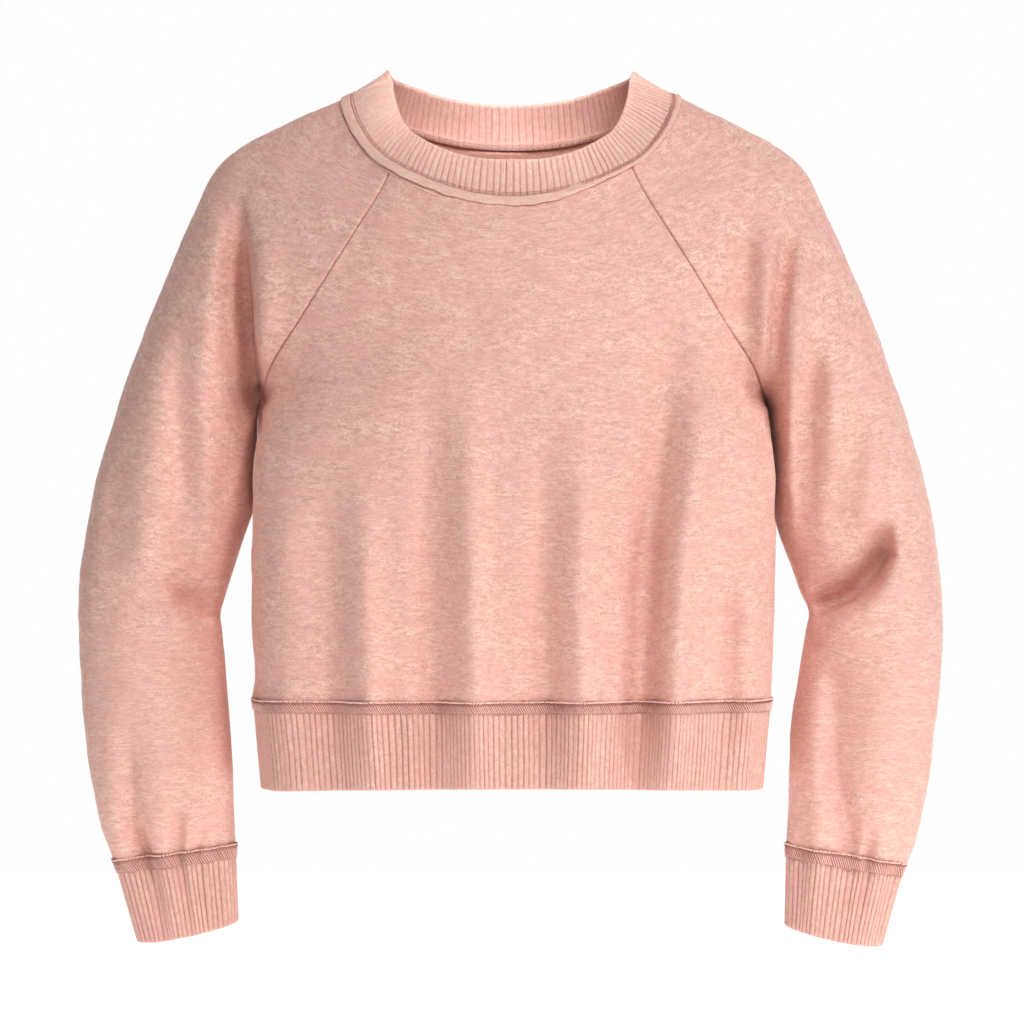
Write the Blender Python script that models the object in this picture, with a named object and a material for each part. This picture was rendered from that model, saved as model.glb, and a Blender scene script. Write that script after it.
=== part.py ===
"""A cropped crewneck sweater with raglan sleeves, in its worn form, hollow and open at neck, hem and cuffs.

Front and back panel, two sleeves, ribbed neckband, hem band and cuffs, and the narrow seam allowances
that are turned to the outside at neck, hem and cuffs.

+X is the wearer's left, which is the right-hand side seen from the front. The front faces -Y, +Z is up.
The origin lies at the height of the side neck points, midway between them. Left and right in the names
are as seen from the front. Tables are in millimetres, and the meshes are made in metres.

Every panel is a set of cross rows. A row is a cubic curve from a seam to the ridge or to the middle of
the panel, so neighbouring panels share the numbers of the seam between them.
"""
import math
from collections import namedtuple

import bpy
import numpy as np

MM = 0.001

# ------------------------------------------------------------------ cloth
WALL = 2.0                 # brushed jersey of panels and sleeves
SEAM_GAP = 0.3             # between two pieces at a seam
SURFACE_INSET = 0.2        # each outer face lies this far inside the drawn surface
FULLNESS = 0.62            # handle length of a row, as a share of the way to where its end lines meet
PANEL_FULLNESS = 0.68      # the same for the handle at the middle of a body panel
TUBE_FULLNESS = 4.0 / 3.0  # handle length of half a tube section, as a share of its half depth

# ------------------------------------------------------------------ ribbed bands
RIB_HEIGHT = 0.9
HEM_RIBS = 200
HEM_LENGTH = 62.0
HEM_WALL = 2.6
CUFF_RIBS = 44
CUFF_WALL = 2.6
NECK_RIBS = 104
NECK_WALL = 3.2
NECK_BULGE = 1.2           # the standing neckband bows outward by this much at half height

# ------------------------------------------------------------------ seam allowances turned outside
ALLOWANCE_WALL = 1.4
ALLOWANCE_ON_PANEL = 3.4
ALLOWANCE_ON_BAND = 4.0
ALLOWANCE_LIFT_PANEL = 0.8
ALLOWANCE_LIFT_BAND = 1.1

# ------------------------------------------------------------------ mesh density
UNDERARM = 6               # the row of the underarm point
SHARP_ANGLE = 35.0         # edges that turn more than this stay sharp, degrees
FINE_STEP = 0.02           # of a row or of half a row's width, to find which way a surface faces
RAGLAN_ROWS = (0, 0.7, 1.4, 2, 2.6, 3.4, 4.2, 5, 5.55, 6)
BODY_ROWS = (6, 6.6, 7.2, 8, 8.8, 9.6, 10.3, 11)
SLEEVE_ROWS = (6, 6.7, 7.6, 8.6, 9.6, 10.6, 11.4, 12, 12.5, 13, 13.6, 14.4, 15.4, 16.4, 17.4, 18.2, 19, 19.6, 20)
FRONT_COLUMNS = 11         # over half of the panel
BACK_COLUMNS = 8
SLEEVE_FRONT_COLUMNS = 11  # from the front seam to the ridge
SLEEVE_BACK_COLUMNS = 9


def table(names, *rows):
    """Columns by name from rows of numbers."""
    columns = zip(*rows)
    return {name: np.array(column, float) for name, column in zip(names.split(), columns)}


# Sleeve above the underarm, from the neck (row 0) down to the underarm point (row 6).
# ridge: the top line of the shoulder and arm. front and back: the raglan seams. x runs outward.
# turn: the angle by which a row leaves the seam backward, degrees; below 0 it leaves toward the viewer.
RAGLAN = table(
    "ridge_left ridge_right ridge_y ridge_z tilt  front_x front_y front_z front_turn front_lift  "
    "back_x back_y back_z back_turn back_lift",
    (124.0, 125.0, 0, -1.0, 0.50,   88.5, -65, -55.5, 38, 0.45,   100, 50, -15, 43, 0.20),
    (171.0, 168.5, 0, -21.0, 0.30,  98.7, -72, -76.0, 33, 0.40,   108, 62, -38, 36, 0.25),
    (217.5, 214.0, 1, -49.0, 0.15,  108.8, -79, -92.8, 27, 0.35,  118, 72, -62, 30, 0.30),
    (239.5, 236.5, 3, -89.0, 0.05,  131.4, -86, -129.2, 22, 0.30,  136, 81, -106, 25, 0.30),
    (256.8, 254.0, 5, -128.0, 0.0,  154.6, -76, -166.2, 12, 0.20,  157, 76, -150, 12, 0.20),
    (273.5, 271.5, 7, -170.0, 0.0,  179.6, -48, -205.1, -20, 0.0,  180, 52, -196, -20, 0.0),
)

# Sleeve below the underarm: the outer and inner line of the tube as seen from the front, row 6 down to
# the cuff seam at row 20. y: middle of the section. depth: half of its front-to-back size.
ARM = table(
    "outer_left outer_left_z inner_left inner_left_z  outer_right outer_right_z inner_right inner_right_z  "
    "y depth",
    (289.3, -212.8, 190.9, -233.8,  288.6, -216.6, 192.4, -233.8,  8, 62),
    (297.8, -237.5, 191.8, -257.1,  296.3, -239.1, 193.7, -257.1,  11, 62),
    (305.5, -263.1, 192.6, -282.7,  303.6, -263.8, 194.9, -282.7,  13, 61),
    (312.3, -287.2, 193.8, -306.0,  310.8, -290.2, 196.1, -307.5,  14, 60),
    (318.4, -314.3, 200.2, -325.6,  316.2, -315.8, 199.9, -324.8,  15, 58),
    (323.0, -341.4, 208.5, -351.9,  320.7, -343.6, 210.0, -351.9,  15, 56),
    (325.6, -366.2, 215.3, -373.0,  323.3, -367.0, 217.2, -371.5,  15, 55),
    (326.3, -388.8, 219.4, -387.3,  324.4, -388.8, 223.2, -386.5,  14, 55),
    (325.7, -407.5, 217.8, -401.5,  324.2, -407.5, 220.4, -403.0,  12, 54),
    (324.4, -437.5, 215.0, -431.5,  322.1, -439.0, 215.0, -436.0,  9, 51),
    (321.4, -468.9, 212.1, -464.4,  318.4, -470.4, 209.9, -467.4,  5, 48),
    (316.6, -504.8, 209.3, -500.3,  313.6, -507.8, 207.8, -503.3,  1, 44),
    (311.1, -533.1, 208.4, -530.1,  307.3, -536.1, 206.9, -530.1,  -2, 39),
    (305.7, -555.5, 207.5, -548.0,  301.9, -555.5, 206.0, -546.5,  -4, 32),
    (298.1, -573.4, 206.7, -561.4,  294.4, -576.4, 205.2, -561.4,  -5, 27),
)

# Lower edge of the cuffs, in the same columns.
CUFF = table(
    "outer_left outer_left_z inner_left inner_left_z  outer_right outer_right_z inner_right inner_right_z  "
    "y depth",
    (281.2, -632.5, 204.4, -617.0,  277.9, -635.5, 203.6, -620.0,  -5, 21),
)
CUFF_DIP = 5.0             # the front of the cuff's edge hangs lower than a straight cut

# Middle line of the front and back panel from the neck (row 0) to the underarm level (row 6).
YOKE = table(
    "front_y front_z back_y back_z",
    (-92, -82.5, 75, -35),
    (-98, -97, 86, -52),
    (-103, -111, 94, -74),
    (-109, -141, 101, -114),
    (-114, -173, 104, -155),
    (-117, -206, 105, -199),
)
YOKE_TURN = {"front": (38, 33, 27, 22, 26, 45), "back": (43, 36, 30, 25, 30, 48)}

# Body from the underarm (row 6) to the hem seam (row 11): the side seams and the middle lines.
# turn: the angle between the inward direction and the way the front row leaves the seam, degrees.
BODY = table(
    "left_x left_y left_turn  right_x right_y right_turn  z  front_y back_y",
    (190.9, 8, 90,   192.4, 8, 90,  -233.8, -118, 105),
    (187.3, 12, 104,  189.8, 12, 104,  -272, -119, 106),
    (187.7, 11, 104,  190.3, 12, 104,  -316, -120, 106),
    (190.2, 6, 101,   190.3, 12, 104,  -361, -119, 105),
    (193.2, -14, 92,  190.0, 12, 103,  -408, -117, 103),
    (185.5, -60, 75,  189.6, 10, 102,  -452, -112, 100),
)

# Lower edge of the hem band against its upper edge.
HEM_PULL_SIDE = 0.970
HEM_PULL_DEPTH = 0.955
HEM_FOLD_SHARE = 0.35      # what is left of the body's flutes at the lower edge
HEM_DIP = 3.5              # the sides end lower than the middle

# How the neckband leaves its seam, at the middle front, the sides and the middle back.
COLLAR = table(
    "angle inward rise",
    (0, 17, 32),
    (45, 25, 25.5),
    (90, 31, 19),
    (135, 20, 30),
    (180, 7, 34.5),
)
COLLAR_STEP = COLLAR["angle"][1] - COLLAR["angle"][0]

# Folds: troughs in the cloth, as lines in the front view. face -1 is the front, +1 the back.
# Each point of a line is (x, z, depth); a depth below 0 is a ridge. The widths are those to the left
# and to the right of the line as it runs.
Fold = namedtuple("Fold", "face left right line")
FOLDS = (
    # where the sleeves fold in beside the chest
    Fold(-1, 30, 11, ((-190, -222, 20), (-194, -198, 22), (-196, -166, 15), (-199, -122, 8), (-206, -88, 0))),
    Fold(-1, 13, 28, ((191, -224, 20), (194, -196, 21), (196, -164, 14), (200, -126, 8), (210, -100, 0))),
    Fold(1, 26, 13, ((-190, -222, 16), (-195, -190, 16), (-202, -140, 8), (-212, -100, 0))),
    Fold(1, 13, 26, ((191, -224, 16), (196, -188, 15), (204, -136, 8), (213, -98, 0))),
    # inside of the elbows
    Fold(-1, 8, 26, ((-219, -391, 12), (-232, -384, 13), (-247, -376, 9), (-259, -357, 0))),
    Fold(-1, 26, 8, ((223, -390, 13), (239, -381, 15), (257, -374, 13), (273, -359, 9), (283, -340, 0))),
    Fold(1, 10, 24, ((-219, -392, 8), (-240, -386, 8), (-262, -372, 0))),
    Fold(1, 24, 10, ((223, -392, 8), (246, -384, 8), (268, -368, 0))),
    # soft flutes of the body, standing out above the hem
    Fold(-1, 20, 20, ((-156, -300, 0), (-158, -380, -4.0), (-159, -455, -3.5))),
    Fold(-1, 20, 20, ((-104, -290, 0), (-106, -370, -4.5), (-107, -455, -4.0))),
    Fold(-1, 24, 24, ((-22, -270, 0), (-24, -360, -5.0), (-26, -455, -4.0))),
    Fold(-1, 20, 20, ((56, -290, 0), (58, -370, -4.5), (58, -455, -3.5))),
    Fold(-1, 18, 18, ((126, -270, 0), (129, -350, -5.5), (131, -455, -4.5))),
    Fold(1, 24, 24, ((-120, -300, 0), (-118, -390, -5.0), (-116, -455, -4.0))),
    Fold(1, 26, 26, ((-34, -310, 0), (-36, -390, -5.0), (-38, -455, -4.0))),
    Fold(1, 24, 24, ((52, -290, 0), (50, -380, -5.5), (50, -455, -4.5))),
    Fold(1, 22, 22, ((130, -300, 0), (128, -390, -4.5), (128, -455, -4.0))),
    # gathers above the cuffs
    Fold(-1, 7, 7, ((-270, -575, 4.0), (-276, -540, 3.0), (-280, -516, 0))),
    Fold(-1, 7, 7, ((-247, -570, 3.5), (-245, -545, 2.5), (-243, -522, 0))),
    Fold(-1, 7, 7, ((250, -575, 4.0), (246, -540, 3.0), (243, -512, 0))),
    Fold(-1, 7, 7, ((272, -577, 3.5), (272, -555, 2.5), (274, -532, 0))),
    Fold(1, 8, 8, ((-260, -575, 4.0), (-264, -540, 2.5), (-268, -515, 0))),
    Fold(1, 8, 8, ((-232, -568, 3.5), (-230, -535, 0))),
    Fold(1, 8, 8, ((262, -577, 4.0), (262, -540, 2.5), (264, -515, 0))),
    Fold(1, 8, 8, ((234, -568, 3.5), (230, -535, 0))),
)
FOLD_MIDDLE = 6.0          # folds of a face fade to nothing at this y
FOLD_FADE = 60.0

# ------------------------------------------------------------------ finish: (colour, roughness)
JERSEY = ((0.800, 0.470, 0.405), 0.95)
RIB = ((0.790, 0.450, 0.390), 0.92)
ALLOWANCE = ((0.815, 0.510, 0.440), 0.95)

SIGN = {"left": -1.0, "right": 1.0}


# ==================================================================== small mathematics
def smooth(values, place, corner=None):
    """A soft curve through evenly numbered values, read at any places between them.

    At the numbered value that corner names, the curve may turn sharply.
    """
    values = np.asarray(values, float)
    place = np.clip(np.asarray(place, float), 0, len(values) - 1)
    if corner is not None:
        above = smooth(values[:corner + 1], place)
        below = smooth(values[corner:], place - corner)
        return np.where((place < corner).reshape(place.shape + (1,) * (values.ndim - 1)), above, below)
    slope = np.gradient(values, axis=0)
    before = np.minimum(place.astype(int), len(values) - 2)
    t = (place - before).reshape(place.shape + (1,) * (values.ndim - 1))
    start = (2 * t**3 - 3 * t**2 + 1) * values[before] + (t**3 - 2 * t**2 + t) * slope[before]
    end = (3 * t**2 - 2 * t**3) * values[before + 1] + (t**3 - t**2) * slope[before + 1]
    return start + end


def read_rows(controls, rows):
    """Controls of the rows asked for. At the underarm only the seam end of the rows may turn sharply."""
    seam_end = smooth(controls[:, :2], rows, corner=UNDERARM)
    far_end = smooth(controls[:, 2:], rows)
    return np.concatenate([seam_end, far_end], axis=1)


def bezier(controls, t):
    """Points at t of the cubic curves with the controls (row, 4, 3): a grid (row, t, 3)."""
    t = np.asarray(t, float)
    weights = np.stack([(1 - t)**3, 3 * t * (1 - t)**2, 3 * t**2 * (1 - t), t**3])
    return np.einsum("rkc,kt->rtc", controls, weights)


def unit(vectors):
    return vectors / np.maximum(np.linalg.norm(vectors, axis=-1, keepdims=True), 1e-9)


def soft_step(x):
    x = np.clip(x, 0, 1)
    return x * x * (3 - 2 * x)


def two_halves(first, second, rows, u):
    """Points of the rows over u from 0 to 2: the first half to u = 1, then the second half backward."""
    rows = np.asarray(rows, float)
    u = np.asarray(u, float)
    start = bezier(read_rows(first, rows), np.clip(u, 0, 1))
    end = bezier(read_rows(second, rows), np.clip(2 - u, 0, 1))
    return np.where((u < 1)[None, :, None], start, end)


def steps(first_count, second_count):
    """Places from 0 to 2, evenly spaced in each half."""
    return np.concatenate([np.linspace(0, 1, first_count + 1), np.linspace(1, 2, second_count + 1)[1:]])


def normals_of(surface, rows, u):
    """Outward normals of a surface whose rows run down and whose u runs to the right seen from outside."""
    rows = np.asarray(rows, float)
    down = surface(np.clip(rows + FINE_STEP, 0, rows[-1]), u) - surface(np.clip(rows - FINE_STEP, 0, rows[-1]), u)
    along = surface(rows, np.clip(u + FINE_STEP, 0, 2)) - surface(rows, np.clip(u - FINE_STEP, 0, 2))
    return unit(np.cross(down, along))


# ==================================================================== folds
def trough(x, z, fold):
    """Depth of one fold at places of the front view."""
    nearest = np.full(x.shape, np.inf)
    depth = np.zeros(x.shape)
    width = np.full(x.shape, float(fold.left))
    for (ax, az, a_depth), (bx, bz, b_depth) in zip(fold.line, fold.line[1:]):
        dx, dz = bx - ax, bz - az
        along = np.clip(((x - ax) * dx + (z - az) * dz) / (dx * dx + dz * dz), 0, 1)
        distance = np.hypot(x - ax - along * dx, z - az - along * dz)
        is_left = dx * (z - az) - dz * (x - ax) > 0
        closer = distance < nearest
        nearest = np.where(closer, distance, nearest)
        depth = np.where(closer, a_depth + along * (b_depth - a_depth), depth)
        width = np.where(closer, np.where(is_left, fold.left, fold.right), width)
    return depth * np.exp(-(nearest / width)**2)


def folded(grid):
    """The grid with the folds pressed in from the front and from the back."""
    x, y, z = grid[..., 0], grid[..., 1], grid[..., 2]
    moved = grid.copy()
    for fold in FOLDS:
        share = soft_step(fold.face * (y - FOLD_MIDDLE) / FOLD_FADE)
        moved[..., 1] -= fold.face * share * trough(x, z, fold)
    return moved


# ==================================================================== rows of the sleeves
def raglan_controls(side, face):
    """Control points of the sleeve rows from the neck to just above the underarm: seam to ridge."""
    toward_back = 1.0 if face == "front" else -1.0
    seam = np.stack([RAGLAN[face + "_x"], RAGLAN[face + "_y"], RAGLAN[face + "_z"]], axis=1)
    ridge = np.stack([RAGLAN["ridge_" + side], RAGLAN["ridge_y"], RAGLAN["ridge_z"]], axis=1)
    turn = np.radians(RAGLAN[face + "_turn"])
    reach = (ridge[:, 0] - seam[:, 0]) / np.cos(turn)
    leave = np.stack([np.cos(turn), toward_back * np.sin(turn), RAGLAN[face + "_lift"]], axis=1)
    rest = np.abs(ridge[:, 1] - seam[:, 1]) - reach * np.sin(turn)
    arrive = np.stack([0 * rest, -toward_back * rest, -toward_back * rest * RAGLAN["tilt"]], axis=1)
    first = seam + FULLNESS * reach[:, None] * leave
    second = ridge + FULLNESS * arrive
    return np.stack([seam, first, second, ridge], axis=1)


def tube_controls(rows, side, face):
    """Control points of half tube sections: inner line to outer line."""
    bow = -TUBE_FULLNESS if face == "front" else TUBE_FULLNESS
    inner = np.stack([rows["inner_" + side], rows["y"], rows["inner_" + side + "_z"]], axis=1)
    outer = np.stack([rows["outer_" + side], rows["y"], rows["outer_" + side + "_z"]], axis=1)
    handle = np.stack([0 * rows["y"], bow * rows["depth"], 0 * rows["y"]], axis=1)
    return np.stack([inner, inner + handle, outer + handle, outer], axis=1)


def sleeve_controls(side, face):
    controls = np.concatenate([raglan_controls(side, face), tube_controls(ARM, side, face)])
    controls[..., 0] *= SIGN[side]
    return controls


def sleeve_surface(side):
    """Left: back seam, over the ridge, to the front seam. Right: from the front seam to the back seam."""
    front, back = sleeve_controls(side, "front"), sleeve_controls(side, "back")
    first, second = (back, front) if side == "left" else (front, back)

    def surface(rows, u):
        return folded(two_halves(first, second, rows, u))

    return surface


def cuff_end(side, u):
    """The lower edge of a cuff, at the places u of its sleeve."""
    front, back = [tube_controls(CUFF, side, face) for face in ("front", "back")]
    front[:, 1:3, 2] -= CUFF_DIP
    first, second = (back, front) if side == "left" else (front, back)
    start = bezier(first, np.clip(u, 0, 1))[0]
    end = bezier(second, np.clip(2 - u, 0, 1))[0]
    ring = np.where((u < 1)[:, None], start, end)
    ring[:, 0] *= SIGN[side]
    return ring


# ==================================================================== rows of the body
def panel_controls(side, face):
    """Control points of half the panel rows: side edge to middle."""
    toward_face = -1.0 if face == "front" else 1.0
    seam = sleeve_controls(side, face)[:len(RAGLAN["tilt"]), 0]
    below = np.stack([SIGN[side] * BODY[side + "_x"], BODY[side + "_y"], BODY["z"]], axis=1)
    edge = np.concatenate([seam, below])
    middle_y = np.concatenate([YOKE[face + "_y"], BODY[face + "_y"]])
    middle_z = np.concatenate([YOKE[face + "_z"], BODY["z"]])
    middle = np.stack([0 * middle_y, middle_y, middle_z], axis=1)
    side_turn = BODY[side + "_turn"] if face == "front" else 180 - BODY[side + "_turn"]
    turn = np.radians(np.concatenate([YOKE_TURN[face], side_turn]))
    lift = np.concatenate([RAGLAN[face + "_lift"], 0 * BODY["z"]])

    reach = np.abs(middle[:, 1] - edge[:, 1]) / np.sin(turn)
    leave = np.stack([-SIGN[side] * np.cos(turn), toward_face * np.sin(turn), -lift], axis=1)
    rest = np.abs(edge[:, 0]) - reach * np.cos(turn)
    first = edge + FULLNESS * reach[:, None] * leave
    second = middle.copy()
    second[:, 0] += SIGN[side] * PANEL_FULLNESS * rest
    return np.stack([edge, first, second, middle], axis=1)


def panel_surface(face, with_folds=True):
    """The front runs from left to right, the back from right to left."""
    sides = ("left", "right") if face == "front" else ("right", "left")
    first, second = [panel_controls(side, face) for side in sides]

    def surface(rows, u):
        grid = two_halves(first, second, rows, u)
        return folded(grid) if with_folds else grid

    return surface


# ==================================================================== meshes
def make_object(name, points, faces, finish):
    mesh = bpy.data.meshes.new(name)
    mesh.from_pydata([tuple(point) for point in np.asarray(points) * MM], [], faces)
    mesh.validate()
    mesh.shade_smooth()
    mesh.set_sharp_from_angle(angle=math.radians(SHARP_ANGLE))
    colour, roughness = finish
    material = bpy.data.materials.new(name + "_cloth")
    material.use_nodes = True
    shader = material.node_tree.nodes["Principled BSDF"]
    shader.inputs["Base Color"].default_value = (*colour, 1.0)
    shader.inputs["Roughness"].default_value = roughness
    shader.inputs["Metallic"].default_value = 0.0
    mesh.materials.append(material)
    piece = bpy.data.objects.new(name, mesh)
    bpy.context.scene.collection.objects.link(piece)
    return piece


def split(a, b, c, d):
    """The four corners of a face as two triangles."""
    return [(a, b, c), (a, c, d)]


def inset_edges(grid):
    """The grid drawn back by half a seam gap along its four edges."""
    drawn = grid.copy()
    half = SEAM_GAP / 2
    drawn[:, 0] += half * unit(grid[:, 1] - grid[:, 0])
    drawn[:, -1] += half * unit(grid[:, -2] - grid[:, -1])
    drawn[0] += half * unit(grid[1] - grid[0])
    drawn[-1] += half * unit(grid[-2] - grid[-1])
    return drawn


def sheet(name, grid, normals, finish):
    """A cloth wall: the grid as its outer face, a plain inner face, and a rim all round."""
    rows, columns = grid.shape[:2]
    outer = inset_edges(grid) - SURFACE_INSET * normals
    inner = outer - WALL * normals
    points = np.concatenate([outer.reshape(-1, 3), inner.reshape(-1, 3)])
    size = rows * columns

    def at(row, column, layer=0):
        return layer * size + row * columns + column

    faces = []
    for row in range(rows - 1):
        for column in range(columns - 1):
            corners = [(row, column), (row + 1, column), (row + 1, column + 1), (row, column + 1)]
            a, b, c, d = [outer[corner] for corner in corners]
            if np.linalg.norm(b - d) < np.linalg.norm(a - c):
                corners = corners[1:] + corners[:1]
            faces += split(*[at(*corner) for corner in corners])
            faces += split(*[at(*corner, 1) for corner in corners[:1] + corners[:0:-1]])
    rim = [(0, column) for column in range(columns - 1)]
    rim += [(row, columns - 1) for row in range(rows - 1)]
    rim += [(rows - 1, column) for column in range(columns - 1, 0, -1)]
    rim += [(row, 0) for row in range(rows - 1, 0, -1)]
    for here, after in zip(rim, rim[1:] + rim[:1]):
        faces += split(at(*here), at(*after), at(*after, 1), at(*here, 1))
    return make_object(name, points, faces, finish)


def hoop(name, sections, finish):
    """A closed ring of cloth. sections is (around, profile, 3), each profile a closed loop."""
    around, profile = sections.shape[:2]
    faces = []
    for i in range(around):
        for k in range(profile):
            a = i * profile + k
            b = i * profile + (k + 1) % profile
            c = (i + 1) % around * profile + (k + 1) % profile
            d = (i + 1) % around * profile + k
            faces += split(a, b, c, d)
    return make_object(name, sections.reshape(-1, 3), faces, finish)


class SeamRing:
    """A closed seam between panels and a band.

    At each point it holds the way down the panel, the panel's outward direction, the band's far edge and
    the band's outward direction, which the rims of the panels share.
    """

    def __init__(self, pieces, band_end):
        """pieces: (grid, normals, edge row, next row) in order round the seam, each from where the one
        before it ends."""
        self.points = np.concatenate([grid[row, 1:] for grid, _, row, _ in pieces])
        following = np.concatenate([grid[next_row, 1:] for grid, _, _, next_row in pieces])
        self.panel_way = unit(following - self.points)
        self.panel_out = np.concatenate([normals[row, 1:] for _, normals, row, _ in pieces])
        self.band_end = band_end(self.points)
        self.band_way = unit(self.band_end - self.points)
        across = np.sum(self.panel_out * self.band_way, axis=1, keepdims=True)
        self.band_out = unit(self.panel_out - across * self.band_way)
        first = 0
        for _, normals, row, _ in pieces:
            columns = normals.shape[1]
            normals[row] = self.band_out[(first - 1 + np.arange(columns)) % len(self.points)]
            first += columns - 1

    def even(self, count):
        """Point, far edge and outward direction of the band at evenly spaced places round the ring."""
        closed = np.concatenate([self.points, self.points[:1]])
        lengths = np.concatenate([[0], np.cumsum(np.linalg.norm(np.diff(closed, axis=0), axis=1))])
        wanted = np.arange(count) * lengths[-1] / count
        read = []
        for field in (self.points, self.band_end, self.band_out):
            looped = np.concatenate([field, field[:1]])
            read.append(np.stack([np.interp(wanted, lengths, looped[:, k]) for k in range(3)], axis=1))
        return read


def ribbed_band(name, ring, ribs, wall, stations, finish, round_edge=False):
    """A band of rib knit: ribs raised in the outer face over a plain inside.

    stations are (share of the length, outward bow).
    """
    points, band_end, out = ring.even(2 * ribs)
    along = band_end - points
    start = SEAM_GAP / 2 / np.linalg.norm(along, axis=1, keepdims=True)
    raised = (RIB_HEIGHT * (np.arange(2 * ribs) % 2))[:, None]
    profile = []
    for share, bow in stations:
        place = points + along * np.maximum(share, start)
        profile.append(place + out * (bow + raised - SURFACE_INSET))
    if round_edge:
        profile.append(band_end + out * (stations[-1][1] - wall / 2))
    for share, bow in (stations[-1], stations[0]):
        place = points + along * np.maximum(share, start)
        profile.append(place + out * (bow - SURFACE_INSET - wall))
    sections = np.stack(profile, axis=1)
    return hoop(name, outward(sections), finish)


def allowance(name, ring, finish, bow=0.0):
    """The seam allowance that lies over the seam: from on the panel to on the band, which bows outward."""
    stations = (
        (ring.points + ALLOWANCE_ON_PANEL * ring.panel_way, ring.panel_out, ALLOWANCE_LIFT_PANEL),
        (ring.points, ring.band_out, ALLOWANCE_LIFT_BAND),
        (ring.points + ALLOWANCE_ON_BAND * ring.band_way, ring.band_out, ALLOWANCE_LIFT_BAND + bow),
    )
    inner = [place + lift * out for place, out, lift in stations]
    outer = [place + (lift + ALLOWANCE_WALL) * out for place, out, lift in stations]
    sections = np.stack(inner + outer[::-1], axis=1)
    return hoop(name, outward(sections), finish)


def outward(sections):
    """The same sections, with each loop in the sense that turns the faces outward."""
    loop = sections[0]
    tangent = sections[1].mean(axis=0) - loop.mean(axis=0)
    area = np.cross(loop, np.roll(loop, -1, axis=0)).sum(axis=0)
    return sections if np.dot(area, tangent) > 0 else sections[:, ::-1]


# ==================================================================== the garment
def neckband_end(points):
    """Upper edge of the neckband: each point of the neck seam moved inward and up."""
    half_width = np.abs(points[:, 0]).max()
    half_depth = np.where(points[:, 1] < 0, -points[:, 1].min(), points[:, 1].max())
    inward = unit(np.stack([-points[:, 0] / half_width**2, -points[:, 1] / half_depth**2, 0 * half_depth], axis=1))
    from_middle = np.degrees(np.arcsin(np.clip(np.abs(points[:, 0]) / half_width, 0, 1)))
    angle = np.where(points[:, 1] < 0, from_middle, 180 - from_middle)
    end = points + inward * smooth(COLLAR["inward"], angle / COLLAR_STEP)[:, None]
    end[:, 2] += smooth(COLLAR["rise"], angle / COLLAR_STEP)
    return end


def hem_end(seam, plain):
    """Lower edge of the hem band, from the hem seam with and without the flutes of the body."""
    lower = plain + HEM_FOLD_SHARE * (seam - plain)
    lower *= (HEM_PULL_SIDE, HEM_PULL_DEPTH, 1)
    half_width = np.abs(lower[:, 0]).max()
    lower[:, 2] -= HEM_LENGTH + HEM_DIP * (lower[:, 0] / half_width)**2
    return lower


def build_garment():
    body_rows = RAGLAN_ROWS + BODY_ROWS[1:]
    arm_rows = RAGLAN_ROWS + SLEEVE_ROWS[1:]
    front_back = (SLEEVE_FRONT_COLUMNS, SLEEVE_BACK_COLUMNS)
    layout = {
        "front_panel": (panel_surface("front"), body_rows, steps(FRONT_COLUMNS, FRONT_COLUMNS)),
        "back_panel": (panel_surface("back"), body_rows, steps(BACK_COLUMNS, BACK_COLUMNS)),
        "left_sleeve": (sleeve_surface("left"), arm_rows, steps(*front_back[::-1])),
        "right_sleeve": (sleeve_surface("right"), arm_rows, steps(*front_back)),
    }
    grids, normals = {}, {}
    for name, (surface, rows, u) in layout.items():
        grids[name] = surface(rows, u)
        normals[name] = normals_of(surface, rows, u)

    def seam_ring(names, row, next_row, band_end):
        return SeamRing([(grids[name], normals[name], row, next_row) for name in names], band_end)

    neck_pieces = ("front_panel", "right_sleeve", "back_panel", "left_sleeve")
    neck = seam_ring(neck_pieces, 0, 1, neckband_end)
    neck_stations = ((0, 0), (0.45, NECK_BULGE), (0.93, NECK_BULGE / 2))
    ribbed_band("neckband", neck, NECK_RIBS, NECK_WALL, neck_stations, RIB, round_edge=True)
    allowance("neck_seam_allowance", neck, ALLOWANCE, bow=NECK_BULGE / 3)

    plain_edges = []
    for name, face in (("front_panel", "front"), ("back_panel", "back")):
        _, rows, u = layout[name]
        plain_edges.append(panel_surface(face, with_folds=False)(rows[-1:], u)[0, 1:])
    plain = np.concatenate(plain_edges)
    hem = seam_ring(("front_panel", "back_panel"), -1, -2, lambda seam: hem_end(seam, plain))
    ribbed_band("hem_band", hem, HEM_RIBS, HEM_WALL, ((0, 0), (1, 0)), RIB)
    allowance("hem_seam_allowance", hem, ALLOWANCE)

    for side in SIGN:
        _, _, u = layout[side + "_sleeve"]
        end = cuff_end(side, u[1:])
        cuff = seam_ring((side + "_sleeve",), -1, -2, lambda seam: end)
        ribbed_band(side + "_cuff", cuff, CUFF_RIBS, CUFF_WALL, ((0, 0), (1, 0)), RIB)
        allowance(side + "_cuff_seam_allowance", cuff, ALLOWANCE)

    for name in layout:
        sheet(name, grids[name], normals[name], JERSEY)


def clear_scene():
    for item in list(bpy.data.objects):
        bpy.data.objects.remove(item, do_unlink=True)


clear_scene()
build_garment()
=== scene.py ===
"""Looks of the cropped crewneck sweater: brushed heather jersey, ribbed bands and outside seam allowances.

The cloth is made from the same tables as the part's solids, only finer, in millimetres in the part's frame.
+X is the right-hand side seen from the front, the front faces -Y, +Z is up. Rows of a panel run downward,
and u runs over a row from 0 through 1, its ridge or middle, to 2, rightward seen from outside.
"""

import math
from collections import namedtuple

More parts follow.
